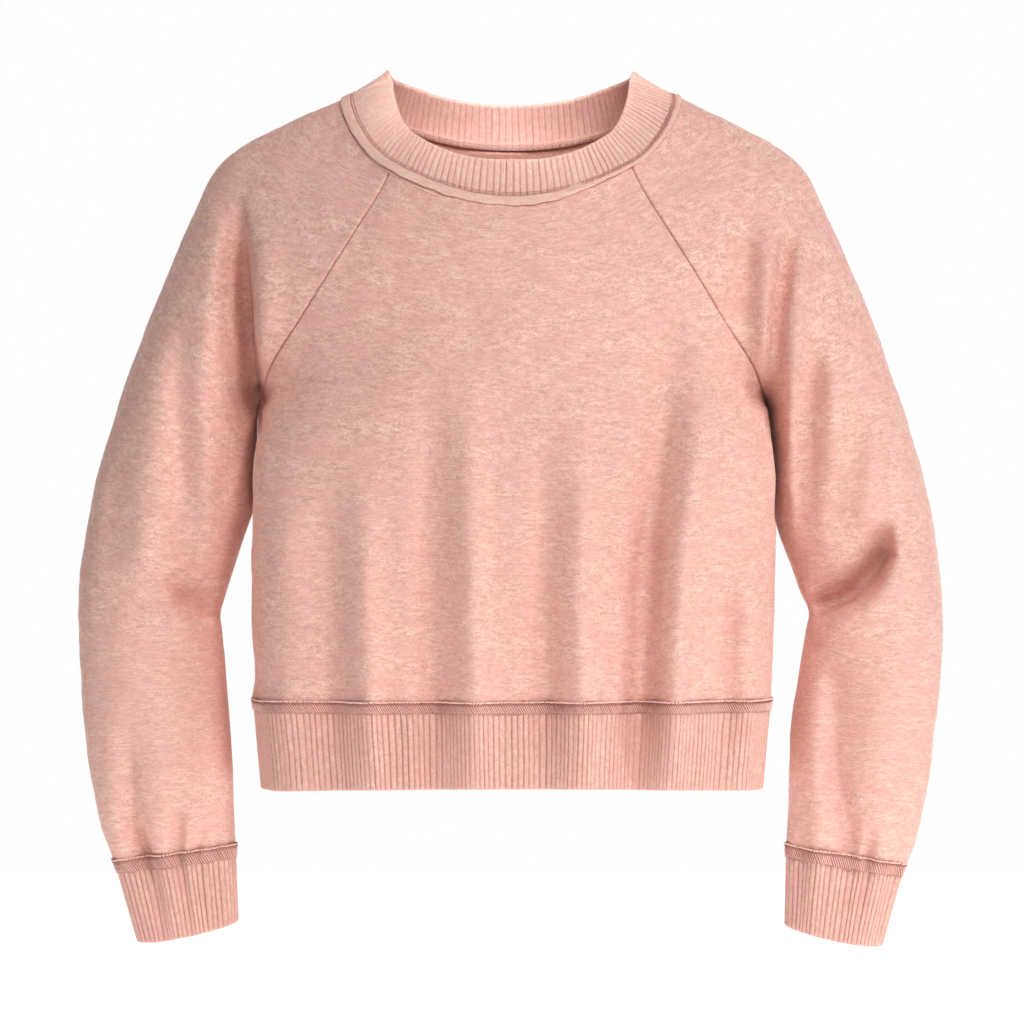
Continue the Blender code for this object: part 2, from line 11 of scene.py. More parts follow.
import bpy
import numpy as np
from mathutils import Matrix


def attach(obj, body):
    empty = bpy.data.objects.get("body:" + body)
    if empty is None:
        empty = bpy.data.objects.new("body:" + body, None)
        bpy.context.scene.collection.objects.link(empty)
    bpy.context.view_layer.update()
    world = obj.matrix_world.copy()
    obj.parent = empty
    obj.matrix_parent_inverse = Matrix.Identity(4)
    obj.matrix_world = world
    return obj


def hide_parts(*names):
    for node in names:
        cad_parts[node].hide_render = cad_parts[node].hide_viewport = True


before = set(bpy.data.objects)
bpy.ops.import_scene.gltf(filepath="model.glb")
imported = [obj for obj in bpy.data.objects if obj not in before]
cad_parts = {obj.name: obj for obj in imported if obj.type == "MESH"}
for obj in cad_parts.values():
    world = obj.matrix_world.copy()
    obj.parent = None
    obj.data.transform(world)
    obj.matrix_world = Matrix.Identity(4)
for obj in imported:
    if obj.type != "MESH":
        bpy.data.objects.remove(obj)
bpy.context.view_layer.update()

MM = 0.001

# ------------------------------------------------------------------ cloth
WALL = 1.7                 # brushed jersey of panels and sleeves
SURFACE_INSET = 0.2        # each outer face lies this far inside the drawn surface
SEAM_ROLL, SEAM_SOFT = 1.4, 0.9      # how far a sewn edge rolls inward, and over which distance
SEAM_GAP = 0.45            # between the outer faces of two pieces at a seam
SEAM_BLEND = 8.0           # within this distance a piece turns to the direction that its neighbour shares
SEAM_STEPS = np.array([0, 0.5, 1.0, 1.6, 2.4, 3.6])    # columns close to a seam, by their distance from it
SURFACE_WAVES = ((0.35, (11, 26, 80)), (0.10, (12, 9, 20)))    # height, and (seed, shortest, longest)
WAVES_FADE = 6.0           # they fade out this near a seam
FULLNESS = 0.62            # handle length of a row, as a share of the way to where its end lines meet
PANEL_FULLNESS = (0.68, 0.80)        # the same at the middle of a body panel: by the neck, and on the body
PANEL_CHANGE = (3, 4)      # the row where that change begins, and how many rows it takes
TUBE_FULLNESS = 4.0 / 3.0  # handle length of half a tube section, as a share of its half depth
UNDERARM = 6               # the row of the underarm point
LAST_BODY_ROW = 11
LAST_SLEEVE_ROW = 20
ROW_INSIDE = 0.1           # of a row: how far from an edge the direction of its cloth is read
FINE_STEP = 0.02           # of a row or of half a row's width, to find which way a surface faces
ROW_READS, COLUMN_READS = 400, 321   # reads of a surface down and across it, to space its points evenly
# piece: last row, rows of the mesh above and below the underarm, columns of the mesh
PANELS = {
    "front_panel": (LAST_BODY_ROW, (66, 90), 150),
    "back_panel": (LAST_BODY_ROW, (60, 60), 100),
    "left_sleeve": (LAST_SLEEVE_ROW, (64, 136), 160),
    "right_sleeve": (LAST_SLEEVE_ROW, (64, 136), 160),
}

# ------------------------------------------------------------------ bands and allowances
HEM_RIBS, HEM_LENGTH = 240, 62.0
CUFF_RIBS, CUFF_LENGTH = 52, 60.0
CUFF_SEED = {"left": 45, "right": 46}
BAND_WALL = 2.6            # of the hem band and the cuffs
BAND_RIB_HEIGHT = 0.9
NECK_RIBS, NECK_WALL = 138, 3.6
NECK_RIB_HEIGHT = 0.8
NECK_BULGE = 1.2           # the neckband bows outward by this much at half height
NECK_CHANGE = (30, 35)     # the neck's allowance and sewing change right of this x, over this distance
NECK_FLAP = (0.55, 0.10)   # how far the allowance stands off the panels, on the left and on the right
# Where the ribs of the neckband fade, as where each of -x, y and -y begins and over which distance.
SHOULDER_LEFT, SHOULDER_FRONT, SHOULDER_BACK = (84, 26), (-62, 30), (-58, 40)
SHOULDER_SMOOTH = 0.97     # how much of their height they lose there
CHAIN_PART = (0.19, 0.83)  # where the chain stitch of the neck runs, as places t of its seam
ALLOWANCE_STEP = 1.1       # between two sections of an allowance
BEAD_THIN = 0.62           # an allowance with a bead is thinner beyond it by this share
TURN_OVER = 4.0            # an allowance turns from the panel to the band over this distance
RING_TOP = 0.85            # the top of the allowances round hem and cuffs, above the cloth
THREAD_SIDES = 5
THREAD_END = 0.35          # the ends of a thread are thinner
THREAD_SHIFT = 0.013       # each thread takes its grain this many metres further on


def table(names, *rows):
    """Columns by name from rows of numbers."""
    columns = zip(*rows)
    return {name: np.array(column, float) for name, column in zip(names.split(), columns)}


# Sleeve above the underarm, from the neck (row 0) down to the underarm point (row 6).
# ridge: the top line of the shoulder and arm. front and back: the raglan seams. x runs outward.
# turn: the angle by which a row leaves the seam backward, degrees; below 0 it leaves toward the viewer.
RAGLAN = table(
    "ridge_left ridge_right ridge_y ridge_z tilt  front_x front_y front_z front_turn front_lift  "
    "back_x back_y back_z back_turn back_lift",
    (124.0, 125.0, 0, -1.0, 0.50,   88.5, -65, -55.5, 38, 0.45,   100, 50, -15, 43, 0.20),
    (171.0, 168.5, 0, -21.0, 0.30,  98.7, -72, -76.0, 33, 0.40,   108, 62, -38, 36, 0.25),
    (217.5, 214.0, 1, -49.0, 0.15,  108.8, -79, -92.8, 27, 0.35,  118, 72, -62, 30, 0.30),
    (239.5, 236.5, 3, -89.0, 0.05,  131.4, -86, -129.2, 22, 0.30,  136, 81, -106, 25, 0.30),
    (256.8, 254.0, 5, -128.0, 0.0,  154.6, -76, -166.2, 12, 0.20,  157, 76, -150, 12, 0.20),
    (273.5, 271.5, 7, -170.0, 0.0,  179.6, -48, -205.1, -20, 0.0,  180, 52, -196, -20, 0.0),
)

# Sleeve below the underarm: the outer and inner line of the tube as seen from the front, row 6 down to
# the cuff seam at row 20. y: middle of the section. depth: half of its front-to-back size.
ARM = table(
    "outer_left outer_left_z inner_left inner_left_z  outer_right outer_right_z inner_right inner_right_z  "
    "y depth",
    (289.3, -212.8, 190.9, -233.8,  288.6, -216.6, 192.4, -233.8,  8, 62),
    (297.8, -237.5, 191.8, -257.1,  296.3, -239.1, 193.7, -257.1,  11, 62),
    (305.5, -263.1, 192.6, -282.7,  303.6, -263.8, 194.9, -282.7,  13, 61),
    (312.3, -287.2, 193.8, -306.0,  310.8, -290.2, 196.1, -307.5,  14, 60),
    (318.4, -314.3, 200.2, -325.6,  316.2, -315.8, 199.9, -324.8,  15, 58),
    (323.0, -341.4, 208.5, -351.9,  320.7, -343.6, 210.0, -351.9,  15, 56),
    (325.6, -366.2, 215.3, -373.0,  323.3, -367.0, 217.2, -371.5,  15, 55),
    (326.3, -388.8, 219.4, -387.3,  324.4, -388.8, 223.2, -386.5,  14, 55),
    (325.7, -407.5, 217.8, -401.5,  324.2, -407.5, 220.4, -403.0,  12, 54),
    (324.4, -437.5, 215.0, -431.5,  322.1, -439.0, 215.0, -436.0,  9, 51),
    (321.4, -468.9, 212.1, -464.4,  318.4, -470.4, 209.9, -467.4,  5, 48),
    (316.6, -504.8, 209.3, -500.3,  313.6, -507.8, 207.8, -503.3,  1, 44),
    (311.1, -533.1, 208.4, -530.1,  307.3, -536.1, 206.9, -530.1,  -2, 39),
    (305.7, -555.5, 207.5, -548.0,  301.9, -555.5, 206.0, -546.5,  -4, 32),
    (298.1, -573.4, 206.7, -561.4,  294.4, -576.4, 205.2, -561.4,  -5, 27),
)

# Lower edge of the cuffs, in the same columns.
CUFF = table(
    "outer_left outer_left_z inner_left inner_left_z  outer_right outer_right_z inner_right inner_right_z  "
    "y depth",
    (281.2, -632.5, 204.4, -617.0,  277.9, -635.5, 203.6, -620.0,  -5, 21),
)
CUFF_DIP = 5.0             # the front of the cuff's edge hangs lower than a straight cut

# Middle line of the front and back panel from the neck (row 0) to the underarm level (row 6).
YOKE = table(
    "front_y front_z back_y back_z",
    (-92, -82.5, 75, -35),
    (-98, -97, 86, -52),
    (-103, -111, 94, -74),
    (-109, -141, 101, -114),
    (-114, -173, 104, -155),
    (-117, -206, 105, -199),
)
YOKE_TURN = {"front": (38, 33, 27, 22, 26, 45), "back": (43, 36, 30, 25, 30, 48)}

# Body from the underarm (row 6) to the hem seam (row 11): the side seams and the middle lines.
# turn: the angle between the inward direction and the way the front row leaves the seam, degrees.
BODY = table(
    "left_x left_y left_turn  right_x right_y right_turn  z  front_y back_y",
    (190.9, 8, 90,   192.4, 8, 90,  -233.8, -118, 105),
    (187.3, 12, 104,  189.8, 12, 104,  -272, -119, 106),
    (187.7, 11, 104,  190.3, 12, 104,  -316, -120, 106),
    (190.2, 6, 101,   190.3, 12, 104,  -361, -119, 105),
    (193.2, -14, 92,  190.0, 12, 103,  -408, -117, 103),
    (185.5, -60, 75,  189.6, 10, 102,  -452, -112, 100),
)

# Lower edge of the hem band against its upper edge.
HEM_PULL_SIDE = 0.970
HEM_PULL_DEPTH = 0.955
HEM_FOLD_SHARE = 0.35      # what is left of the body's flutes at the lower edge
HEM_SOFTEN = 1 / 14        # they are averaged over this share of the seam to each side
HEM_DIP = 3.5              # the sides end lower than the middle

# How the neckband leaves its seam, at the middle front, the sides and the middle back.
COLLAR = table(
    "angle inward rise",
    (0, 17, 32),
    (22.5, 22.5, 28.7),
    (45, 28, 25.5),
    (67.5, 33, 20.8),
    (90, 34.5, 12.0),
    (112.5, 28, 26),
    (135, 20, 31.5),
    (157.5, 13.6, 33.4),
    (180, 7, 34.5),
)
COLLAR_STEP = COLLAR["angle"][1]
COLLAR_RIGHT = 2.5         # the right side of the band leans this much further inward

# Folds: troughs in the cloth, as lines in the front view. face -1 is the front, +1 the back.
# Each point of a line is (x, z, depth); a depth below 0 is a ridge. left and right are the widths of the
# fold to the left and to the right of the line as it runs.
Fold = namedtuple("Fold", "face left right line")
FOLDS = (
    # where the sleeves fold in beside the chest
    Fold(-1, 17, 4, ((-188, -228, 30), (-192, -198, 46), (-194, -166, 46), (-197, -122, 34),
                     (-204, -76, 0))),
    Fold(-1, 14, 8, ((-214, -96, -3), (-224, -150, -2), (-226, -200, 0))),
    Fold(-1, 10, 10, ((-182, -100, 0), (-181, -130, -4), (-180, -168, -3), (-180, -200, 0))),
    Fold(-1, 5, 9, ((191, -228, 8), (193, -196, 16), (195, -165, 20), (200, -128, 18), (210, -84, 0))),
    Fold(-1, 8, 13, ((217, -100, 0), (212, -140, -8), (208, -180, -12), (205, -230, -17),
                     (204, -290, -15), (208, -330, -8), (214, -360, 0))),
    Fold(-1, 15, 12, ((168, -195, 0), (171, -165, 12), (172, -122, 14), (178, -76, 0))),
    Fold(-1, 7, 7, ((189, -84, 0), (188, -118, -5), (187, -160, -6), (187, -192, -5), (189, -215, 0))),
    Fold(1, 26, 10, ((-190, -226, 16), (-195, -190, 17), (-202, -140, 10), (-212, -96, 0))),
    Fold(1, 10, 26, ((191, -226, 16), (196, -188, 17), (204, -136, 10), (213, -94, 0))),
    # soft columns down the upper arms
    Fold(-1, 10, 12, ((-228, -160, 0), (-229, -215, -6), (-227, -285, -7), (-224, -345, -3),
                     (-222, -370, 0))),
    Fold(-1, 14, 8, ((-247, -160, 0), (-246, -220, 5), (-244, -270, 8), (-243, -310, 5), (-238, -345, 0))),
    Fold(-1, 12, 9, ((262, -190, 0), (258, -260, 5), (256, -320, 0))),
    Fold(-1, 16, 14, ((-268, -160, 0), (-268, -240, -5), (-270, -310, -4), (-274, -345, -7),
                     (-278, -376, 0))),
    Fold(-1, 13, 9, ((-292, -240, 0), (-299, -310, 4), (-303, -350, 0))),
    Fold(-1, 10, 12, ((236, -170, 0), (235, -215, -8), (232, -270, -9), (228, -325, -6), (226, -350, 0))),
    Fold(-1, 14, 8, ((222, -150, 0), (224, -215, 6), (225, -270, 8), (226, -330, 0))),
    Fold(-1, 9, 12, ((268, -225, 0), (266, -275, -7), (263, -305, -6), (258, -330, 0))),
    Fold(-1, 14, 14, ((290, -220, 0), (294, -280, -4), (297, -330, 0))),
    Fold(1, 14, 14, ((-250, -160, 0), (-252, -240, 5), (-250, -330, 2))),
    Fold(1, 14, 14, ((250, -160, 0), (252, -240, 5), (250, -330, 2))),
    # inside of the elbows
    Fold(-1, 4, 22, ((-208, -394, 0), (-218, -391, 16), (-230, -386, 22), (-245, -378, 19),
                     (-259, -358, 0))),
    Fold(-1, 10, 10, ((-210, -404, 0), (-224, -402, -4), (-240, -397, -5), (-262, -386, -3),
                     (-274, -372, 0))),
    Fold(-1, 17, 4, ((206, -394, 0), (217, -391, 20), (236, -383, 34), (254, -376, 41), (270, -362, 41),
                     (280, -343, 34), (279, -316, 0))),
    Fold(-1, 10, 10, ((232, -396, -4), (262, -386, -5), (284, -366, -5), (293, -342, 0))),
    Fold(1, 9, 22, ((-206, -393, 0), (-219, -392, 9), (-240, -386, 10), (-262, -372, 0))),
    Fold(1, 22, 9, ((208, -393, 0), (223, -392, 9), (246, -384, 10), (268, -368, 0))),
    # soft flutes of the body: a steep flank to the left of each ridge, and a trough beside it
    Fold(-1, 14, 34, ((-168, -250, 0), (-170, -320, -7), (-170, -460, -8))),
    Fold(-1, 13, 24, ((-109, -275, 0), (-109, -340, -12), (-108, -400, -18), (-107, -460, -19))),
    Fold(-1, 14, 30, ((-33, -200, 0), (-33, -280, -11), (-32, -350, -19), (-30, -460, -23))),
    Fold(-1, 13, 26, ((49, -225, 0), (48, -300, -11), (47, -370, -18), (49, -460, -20))),
    Fold(-1, 14, 22, ((147, -160, 0), (137, -250, -14), (124, -325, -22), (118, -400, -25),
                     (117, -460, -23))),
    Fold(-1, 11, 16, ((177, -320, 0), (176, -390, -10), (175, -460, -10))),
    Fold(-1, 24, 13, ((-132, -280, 0), (-132, -350, 13), (-131, -460, 18))),
    Fold(-1, 22, 14, ((-57, -210, 0), (-57, -285, 11), (-56, -360, 19), (-55, -460, 23))),
    Fold(-1, 20, 13, ((26, -240, 0), (26, -310, 11), (25, -370, 17), (26, -460, 19))),
    Fold(-1, 18, 15, ((121, -165, 0), (111, -260, 19), (99, -345, 29), (95, -460, 30))),
    Fold(-1, 14, 11, ((158, -330, 0), (157, -390, 12), (156, -460, 12))),
    Fold(1, 15, 30, ((100, -220, 0), (96, -320, -5), (92, -460, -9))),
    Fold(1, 15, 30, ((16, -240, 0), (14, -340, -5), (10, -460, -9))),
    Fold(1, 15, 28, ((-62, -220, 0), (-66, -320, -6), (-70, -460, -10))),
    Fold(1, 14, 22, ((-140, -260, 0), (-142, -360, -5), (-142, -460, -7))),
    Fold(1, 26, 14, ((78, -260, 0), (76, -350, 4), (72, -460, 5))),
    Fold(1, 26, 14, ((-8, -260, 0), (-10, -350, 4), (-12, -460, 5))),
    # forearms
    Fold(-1, 13, 11, ((-288, -440, 0), (-284, -485, 4), (-276, -535, 6), (-270, -575, 6))),
    Fold(-1, 17, 11, ((239, -405, 0), (240, -450, 10), (244, -505, 9), (249, -545, 4), (251, -570, 0))),
    Fold(-1, 12, 12, ((222, -420, 0), (221, -480, -3), (220, -540, 0))),
    Fold(-1, 14, 14, ((272, -420, 0), (274, -480, -3), (272, -540, 0))),
    # gathers above the cuffs
    Fold(-1, 12, 4, ((-267, -584, 3), (-269, -572, 6), (-272, -562, 12), (-280, -541, 10),
                     (-283, -512, 5), (-285, -480, 0))),
    Fold(-1, 5, 16, ((-263, -572, -2), (-266, -555, -5), (-272, -520, -3), (-275, -490, 0))),
    Fold(-1, 7, 4, ((-247, -580, 3), (-248, -566, 7), (-248, -545, 5), (-245, -515, 0))),
    Fold(-1, 5, 9, ((-240, -570, -2), (-240, -550, -3), (-238, -520, 0))),
    Fold(-1, 6, 4, ((-235, -574, 2), (-234, -562, 5), (-230, -548, 3), (-226, -530, 0))),
    Fold(-1, 5, 4, ((-221, -568, 2), (-220, -556, 3), (-217, -540, 0))),
    Fold(-1, 10, 7, ((253, -588, 3), (253, -574, 7), (253, -564, 10), (250, -541, 10), (244, -520, 7),
                     (240, -490, 4), (238, -460, 0))),
    Fold(-1, 5, 4, ((266, -590, 3), (266, -576, 5), (266, -568, 8), (267, -555, 5), (268, -538, 0))),
    Fold(-1, 6, 4, ((284, -592, 3), (287, -577, 7), (294, -553, 4), (297, -538, 0))),
    Fold(-1, 6, 9, ((226, -575, -2), (226, -560, -5), (224, -515, -4), (224, -480, 0))),
    Fold(-1, 5, 5, ((217, -578, 3), (215, -566, 5), (212, -545, 0))),
    Fold(-1, 5, 5, ((238, -580, 2), (237, -566, 3), (236, -548, 0))),
    Fold(1, 8, 8, ((-260, -580, 3), (-261, -565, 6), (-264, -540, 4), (-268, -505, 0))),
    Fold(1, 7, 7, ((-240, -578, 2), (-239, -562, 4), (-238, -530, 0))),
    Fold(1, 6, 6, ((-224, -572, 2), (-222, -558, 3.5), (-219, -535, 0))),
    Fold(1, 8, 8, ((262, -582, 3), (262, -567, 6), (262, -540, 4), (264, -505, 0))),
    Fold(1, 7, 7, ((242, -580, 2), (241, -562, 4), (238, -530, 0))),
    Fold(1, 6, 6, ((225, -576, 2), (223, -560, 3.5), (220, -535, 0))),
)
FOLD_MIDDLE = 10.0         # folds of a face fade to nothing at this y
FOLD_FADE = 44.0

SIGN = {"left": -1.0, "right": 1.0}


# ==================================================================== small mathematics
def smooth(values, place, corner=None):
    """A soft curve through evenly numbered values, read at any places between them.

    At the numbered value that corner names, the curve may turn sharply.
    """
    values = np.asarray(values, float)
    place = np.clip(np.asarray(place, float), 0, len(values) - 1)
    if corner is not None:
        above = smooth(values[:corner + 1], place)
        below = smooth(values[corner:], place - corner)
        return np.where((place < corner).reshape(place.shape + (1,) * (values.ndim - 1)), above, below)
    slope = np.gradient(values, axis=0)
    before = np.minimum(place.astype(int), len(values) - 2)
    t = (place - before).reshape(place.shape + (1,) * (values.ndim - 1))
    start = (2 * t**3 - 3 * t**2 + 1) * values[before] + (t**3 - 2 * t**2 + t) * slope[before]
    end = (3 * t**2 - 2 * t**3) * values[before + 1] + (t**3 - t**2) * slope[before + 1]
    return start + end


def read_rows(controls, rows):
    """Controls of the rows asked for. At the underarm only the seam end of the rows may turn sharply."""
    seam_end = smooth(controls[:, :2], rows, corner=UNDERARM)
    far_end = smooth(controls[:, 2:], rows)
    return np.concatenate([seam_end, far_end], axis=1)


def bezier(controls, t):
    """Points of the cubic curves with the controls (row, 4, 3) at t (row, place)."""
    weights = np.stack([(1 - t)**3, 3 * t * (1 - t)**2, 3 * t**2 * (1 - t), t**3])
    return np.einsum("rkc,krt->rtc", controls, weights)


def unit(vectors):
    """The vectors at length 1."""
    return vectors / np.maximum(np.linalg.norm(vectors, axis=-1, keepdims=True), 1e-9)


def soft_step(x):
    """From 0 at 0 to 1 at 1, level at both ends."""
    x = np.clip(x, 0, 1)
    return x * x * (3 - 2 * x)


def fade(value, begin, over):
    """0 up to begin, then rising softly to 1 over the given stretch."""
    return soft_step((value - begin) / over)


def lengths_along(points):
    """How far each point lies from the first one, along the last axis but one."""
    step = np.linalg.norm(np.diff(points, axis=-2), axis=-1)
    return np.concatenate([np.zeros(step.shape[:-1] + (1,)), np.cumsum(step, axis=-1)], axis=-1)


def soft_waves(points, seed, shortest, longest, count=40):
    """A smooth random height from -1 to 1 or so at points in space, with waves of the given lengths."""
    draw = np.random.default_rng(seed)
    ways = unit(draw.normal(size=(count, 3)))
    wave = 2 * math.pi / draw.uniform(shortest, longest, count)
    start = draw.uniform(0, 2 * math.pi, count)
    height = np.zeros(points.shape[:-1])
    for way, number, phase in zip(ways, wave, start):
        height += np.sin(points @ way * number + phase)
    return height * math.sqrt(2 / count)


# ==================================================================== folds
def trough(x, z, fold):
    """Depth of one fold at places of the front view."""
    nearest = np.full(x.shape, np.inf)
    depth = np.zeros(x.shape)
    width = np.full(x.shape, float(fold.left))
    for (ax, az, a_depth), (bx, bz, b_depth) in zip(fold.line, fold.line[1:]):
        dx, dz = bx - ax, bz - az
        along = np.clip(((x - ax) * dx + (z - az) * dz) / (dx * dx + dz * dz), 0, 1)
        distance = np.hypot(x - ax - along * dx, z - az - along * dz)
        is_left = dx * (z - az) - dz * (x - ax) > 0
        closer = distance < nearest
        nearest = np.where(closer, distance, nearest)
        depth = np.where(closer, a_depth + along * (b_depth - a_depth), depth)
        width = np.where(closer, np.where(is_left, fold.left, fold.right), width)
    return depth * np.exp(-(nearest / width)**2)


def folded(grid):
    """The grid with the folds pressed in from the front and from the back."""
    x, y, z = grid[..., 0], grid[..., 1], grid[..., 2]
    moved = grid.copy()
    for fold in FOLDS:
        share = soft_step(fold.face * (y - FOLD_MIDDLE) / FOLD_FADE)
        moved[..., 1] -= fold.face * share * trough(x, z, fold)
    return moved


# ==================================================================== rows of the sleeves
def raglan_controls(side, face):
    """Control points of the sleeve rows from the neck to just above the underarm: seam to ridge."""
    toward_back = 1.0 if face == "front" else -1.0
    seam = np.stack([RAGLAN[face + "_x"], RAGLAN[face + "_y"], RAGLAN[face + "_z"]], axis=1)
    ridge = np.stack([RAGLAN["ridge_" + side], RAGLAN["ridge_y"], RAGLAN["ridge_z"]], axis=1)
    turn = np.radians(RAGLAN[face + "_turn"])
    reach = (ridge[:, 0] - seam[:, 0]) / np.cos(turn)
    leave = np.stack([np.cos(turn), toward_back * np.sin(turn), RAGLAN[face + "_lift"]], axis=1)
    rest = np.abs(ridge[:, 1] - seam[:, 1]) - reach * np.sin(turn)
    arrive = np.stack([0 * rest, -toward_back * rest, -toward_back * rest * RAGLAN["tilt"]], axis=1)
    first = seam + FULLNESS * reach[:, None] * leave
    second = ridge + FULLNESS * arrive
    return np.stack([seam, first, second, ridge], axis=1)


def tube_controls(rows, side, face):
    """Control points of half tube sections: inner line to outer line."""
    bow = -TUBE_FULLNESS if face == "front" else TUBE_FULLNESS
    inner = np.stack([rows["inner_" + side], rows["y"], rows["inner_" + side + "_z"]], axis=1)
    outer = np.stack([rows["outer_" + side], rows["y"], rows["outer_" + side + "_z"]], axis=1)
    handle = np.stack([0 * rows["y"], bow * rows["depth"], 0 * rows["y"]], axis=1)
    return np.stack([inner, inner + handle, outer + handle, outer], axis=1)


def sleeve_controls(side, face):
    """Control points of all rows of half a sleeve."""
    controls = np.concatenate([raglan_controls(side, face), tube_controls(ARM, side, face)])
    controls[..., 0] *= SIGN[side]
    return controls


def surface_of(first, second):
    """The folded surface of rows made of two halves, the second run backward from u = 2."""
    def surface(rows, u):
        rows = np.atleast_1d(np.asarray(rows, float))
        u = np.broadcast_to(u, (len(rows), np.shape(u)[-1]))
        start = bezier(read_rows(first, rows), np.clip(u, 0, 1))
        end = bezier(read_rows(second, rows), np.clip(2 - u, 0, 1))
        return folded(np.where((u < 1)[..., None], start, end))
    return surface


def sleeve_surface(side):
    """Left: back seam, over the ridge, to the front seam. Right: from the front seam to the back seam."""
    front, back = sleeve_controls(side, "front"), sleeve_controls(side, "back")
    return surface_of(back, front) if side == "left" else surface_of(front, back)


def cuff_end(side, u):
    """The lower edge of a cuff, at the places u of its sleeve."""
    front, back = [tube_controls(CUFF, side, face) for face in ("front", "back")]
    front[:, 1:3, 2] -= CUFF_DIP
    first, second = (back, front) if side == "left" else (front, back)
    start = bezier(first, np.clip(u, 0, 1)[None])[0]
    end = bezier(second, np.clip(2 - u, 0, 1)[None])[0]
    ring = np.where((u < 1)[:, None], start, end)
    ring[:, 0] *= SIGN[side]
    return ring


# ==================================================================== rows of the body
def panel_controls(side, face):
    """Control points of half the panel rows: side edge to middle."""
    toward_face = -1.0 if face == "front" else 1.0
    seam = sleeve_controls(side, face)[:len(RAGLAN["tilt"]), 0]
    below = np.stack([SIGN[side] * BODY[side + "_x"], BODY[side + "_y"], BODY["z"]], axis=1)
    edge = np.concatenate([seam, below])
    middle_y = np.concatenate([YOKE[face + "_y"], BODY[face + "_y"]])
    middle_z = np.concatenate([YOKE[face + "_z"], BODY["z"]])
    middle = np.stack([0 * middle_y, middle_y, middle_z], axis=1)
    side_turn = BODY[side + "_turn"] if face == "front" else 180 - BODY[side + "_turn"]
    turn = np.radians(np.concatenate([YOKE_TURN[face], side_turn]))
    lift = np.concatenate([RAGLAN[face + "_lift"], 0 * BODY["z"]])

    reach = np.abs(middle[:, 1] - edge[:, 1]) / np.sin(turn)
    leave = np.stack([-SIGN[side] * np.cos(turn), toward_face * np.sin(turn), -lift], axis=1)
    rest = np.abs(edge[:, 0]) - reach * np.cos(turn)
    first = edge + FULLNESS * reach[:, None] * leave
    second = middle.copy()
    by_neck, on_body = PANEL_FULLNESS
    fullness = by_neck + (on_body - by_neck) * fade(np.arange(len(rest)), *PANEL_CHANGE)
    second[:, 0] += SIGN[side] * fullness * rest
    return np.stack([edge, first, second, middle], axis=1)


def panel_surface(face):
    """The front runs from left to right, the back from right to left."""
    sides = ("left", "right") if face == "front" else ("right", "left")
    return surface_of(*[panel_controls(side, face) for side in sides])


# ==================================================================== meshes
def make_piece(name, points, quads, uv, material, values=None):
    """A mesh piece that rides on the part: points in mm, four corners a face, uv in metres at each point."""
    mesh = bpy.data.meshes.new(name)
    quads = np.asarray(quads, np.int32)
    mesh.vertices.add(len(points))
    mesh.vertices.foreach_set("co", (np.asarray(points) * MM).astype(np.float32).ravel())
    mesh.loops.add(quads.size)
    mesh.loops.foreach_set("vertex_index", quads.ravel())
    mesh.polygons.add(len(quads))
    mesh.polygons.foreach_set("loop_start", np.arange(0, quads.size, 4, dtype=np.int32))
    mesh.update(calc_edges=True)
    layer = mesh.uv_layers.new(name="cloth")
    layer.data.foreach_set("uv", np.asarray(uv, np.float32)[quads.ravel()].ravel())
    for title, numbers in (values or {}).items():
        attribute = mesh.attributes.new(title, "FLOAT", "POINT")
        attribute.data.foreach_set("value", np.asarray(numbers, np.float32).ravel())
    mesh.shade_smooth()
    mesh.materials.append(material)
    piece = bpy.data.objects.new(name, mesh)
    bpy.context.scene.collection.objects.link(piece)
    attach(piece, "root")
    return piece


def grid_quads(rows, columns, flipped=False, closed=False, start=0):
    """The faces of a grid of points, row after row; closed joins the last column to the first."""
    row = np.arange(rows - 1)[:, None]
    column = np.arange(columns if closed else columns - 1)[None]
    after = (column + 1) % columns
    here, below = row * columns, (row + 1) * columns
    corners = [here + column, below + column, below + after, here + after]
    quads = np.stack(corners[::-1] if flipped else corners, axis=-1).reshape(-1, 4)
    return quads + start


def grid_normals(grid):
    """Outward directions of a grid of points."""
    down = np.gradient(grid, axis=0)
    along = np.gradient(grid, axis=1)
    return unit(np.cross(down, along))


def even_rows(surface, corners, counts):
    """Row numbers evenly spaced in length along the ridge or middle, with the corner rows among them."""
    rows = []
    for first, last, count in zip(corners, corners[1:], counts):
        dense = np.linspace(first, last, ROW_READS)
        length = lengths_along(surface(dense, np.array([1.0]))[:, 0])
        rows.append(np.interp(np.linspace(0, length[-1], count + 1), length, dense)[:-1])
    return np.concatenate(rows + [[corners[-1]]])


def even_columns(surface, rows, count):
    """Places of a row evenly spaced in length, closer together beside the seams.

    Gives the places, and how far each lies from the ridge or middle, from the first and from the last edge.
    """
    dense = np.linspace(0, 2, COLUMN_READS)
    length = lengths_along(surface(rows, dense))
    total = length[:, -1:]
    inside = SEAM_STEPS[-1] + (total - 2 * SEAM_STEPS[-1]) * np.linspace(0, 1, count)[None, 1:-1]
    near = np.broadcast_to(SEAM_STEPS, (len(rows), len(SEAM_STEPS)))
    wanted = np.concatenate([near, inside, total - near[:, ::-1]], axis=1)
    u = np.stack([np.interp(want, run, dense) for want, run in zip(wanted, length)])
    middle = np.stack([np.interp(1.0, dense, run) for run in length])
    return u, wanted - middle[:, None], wanted, total - wanted


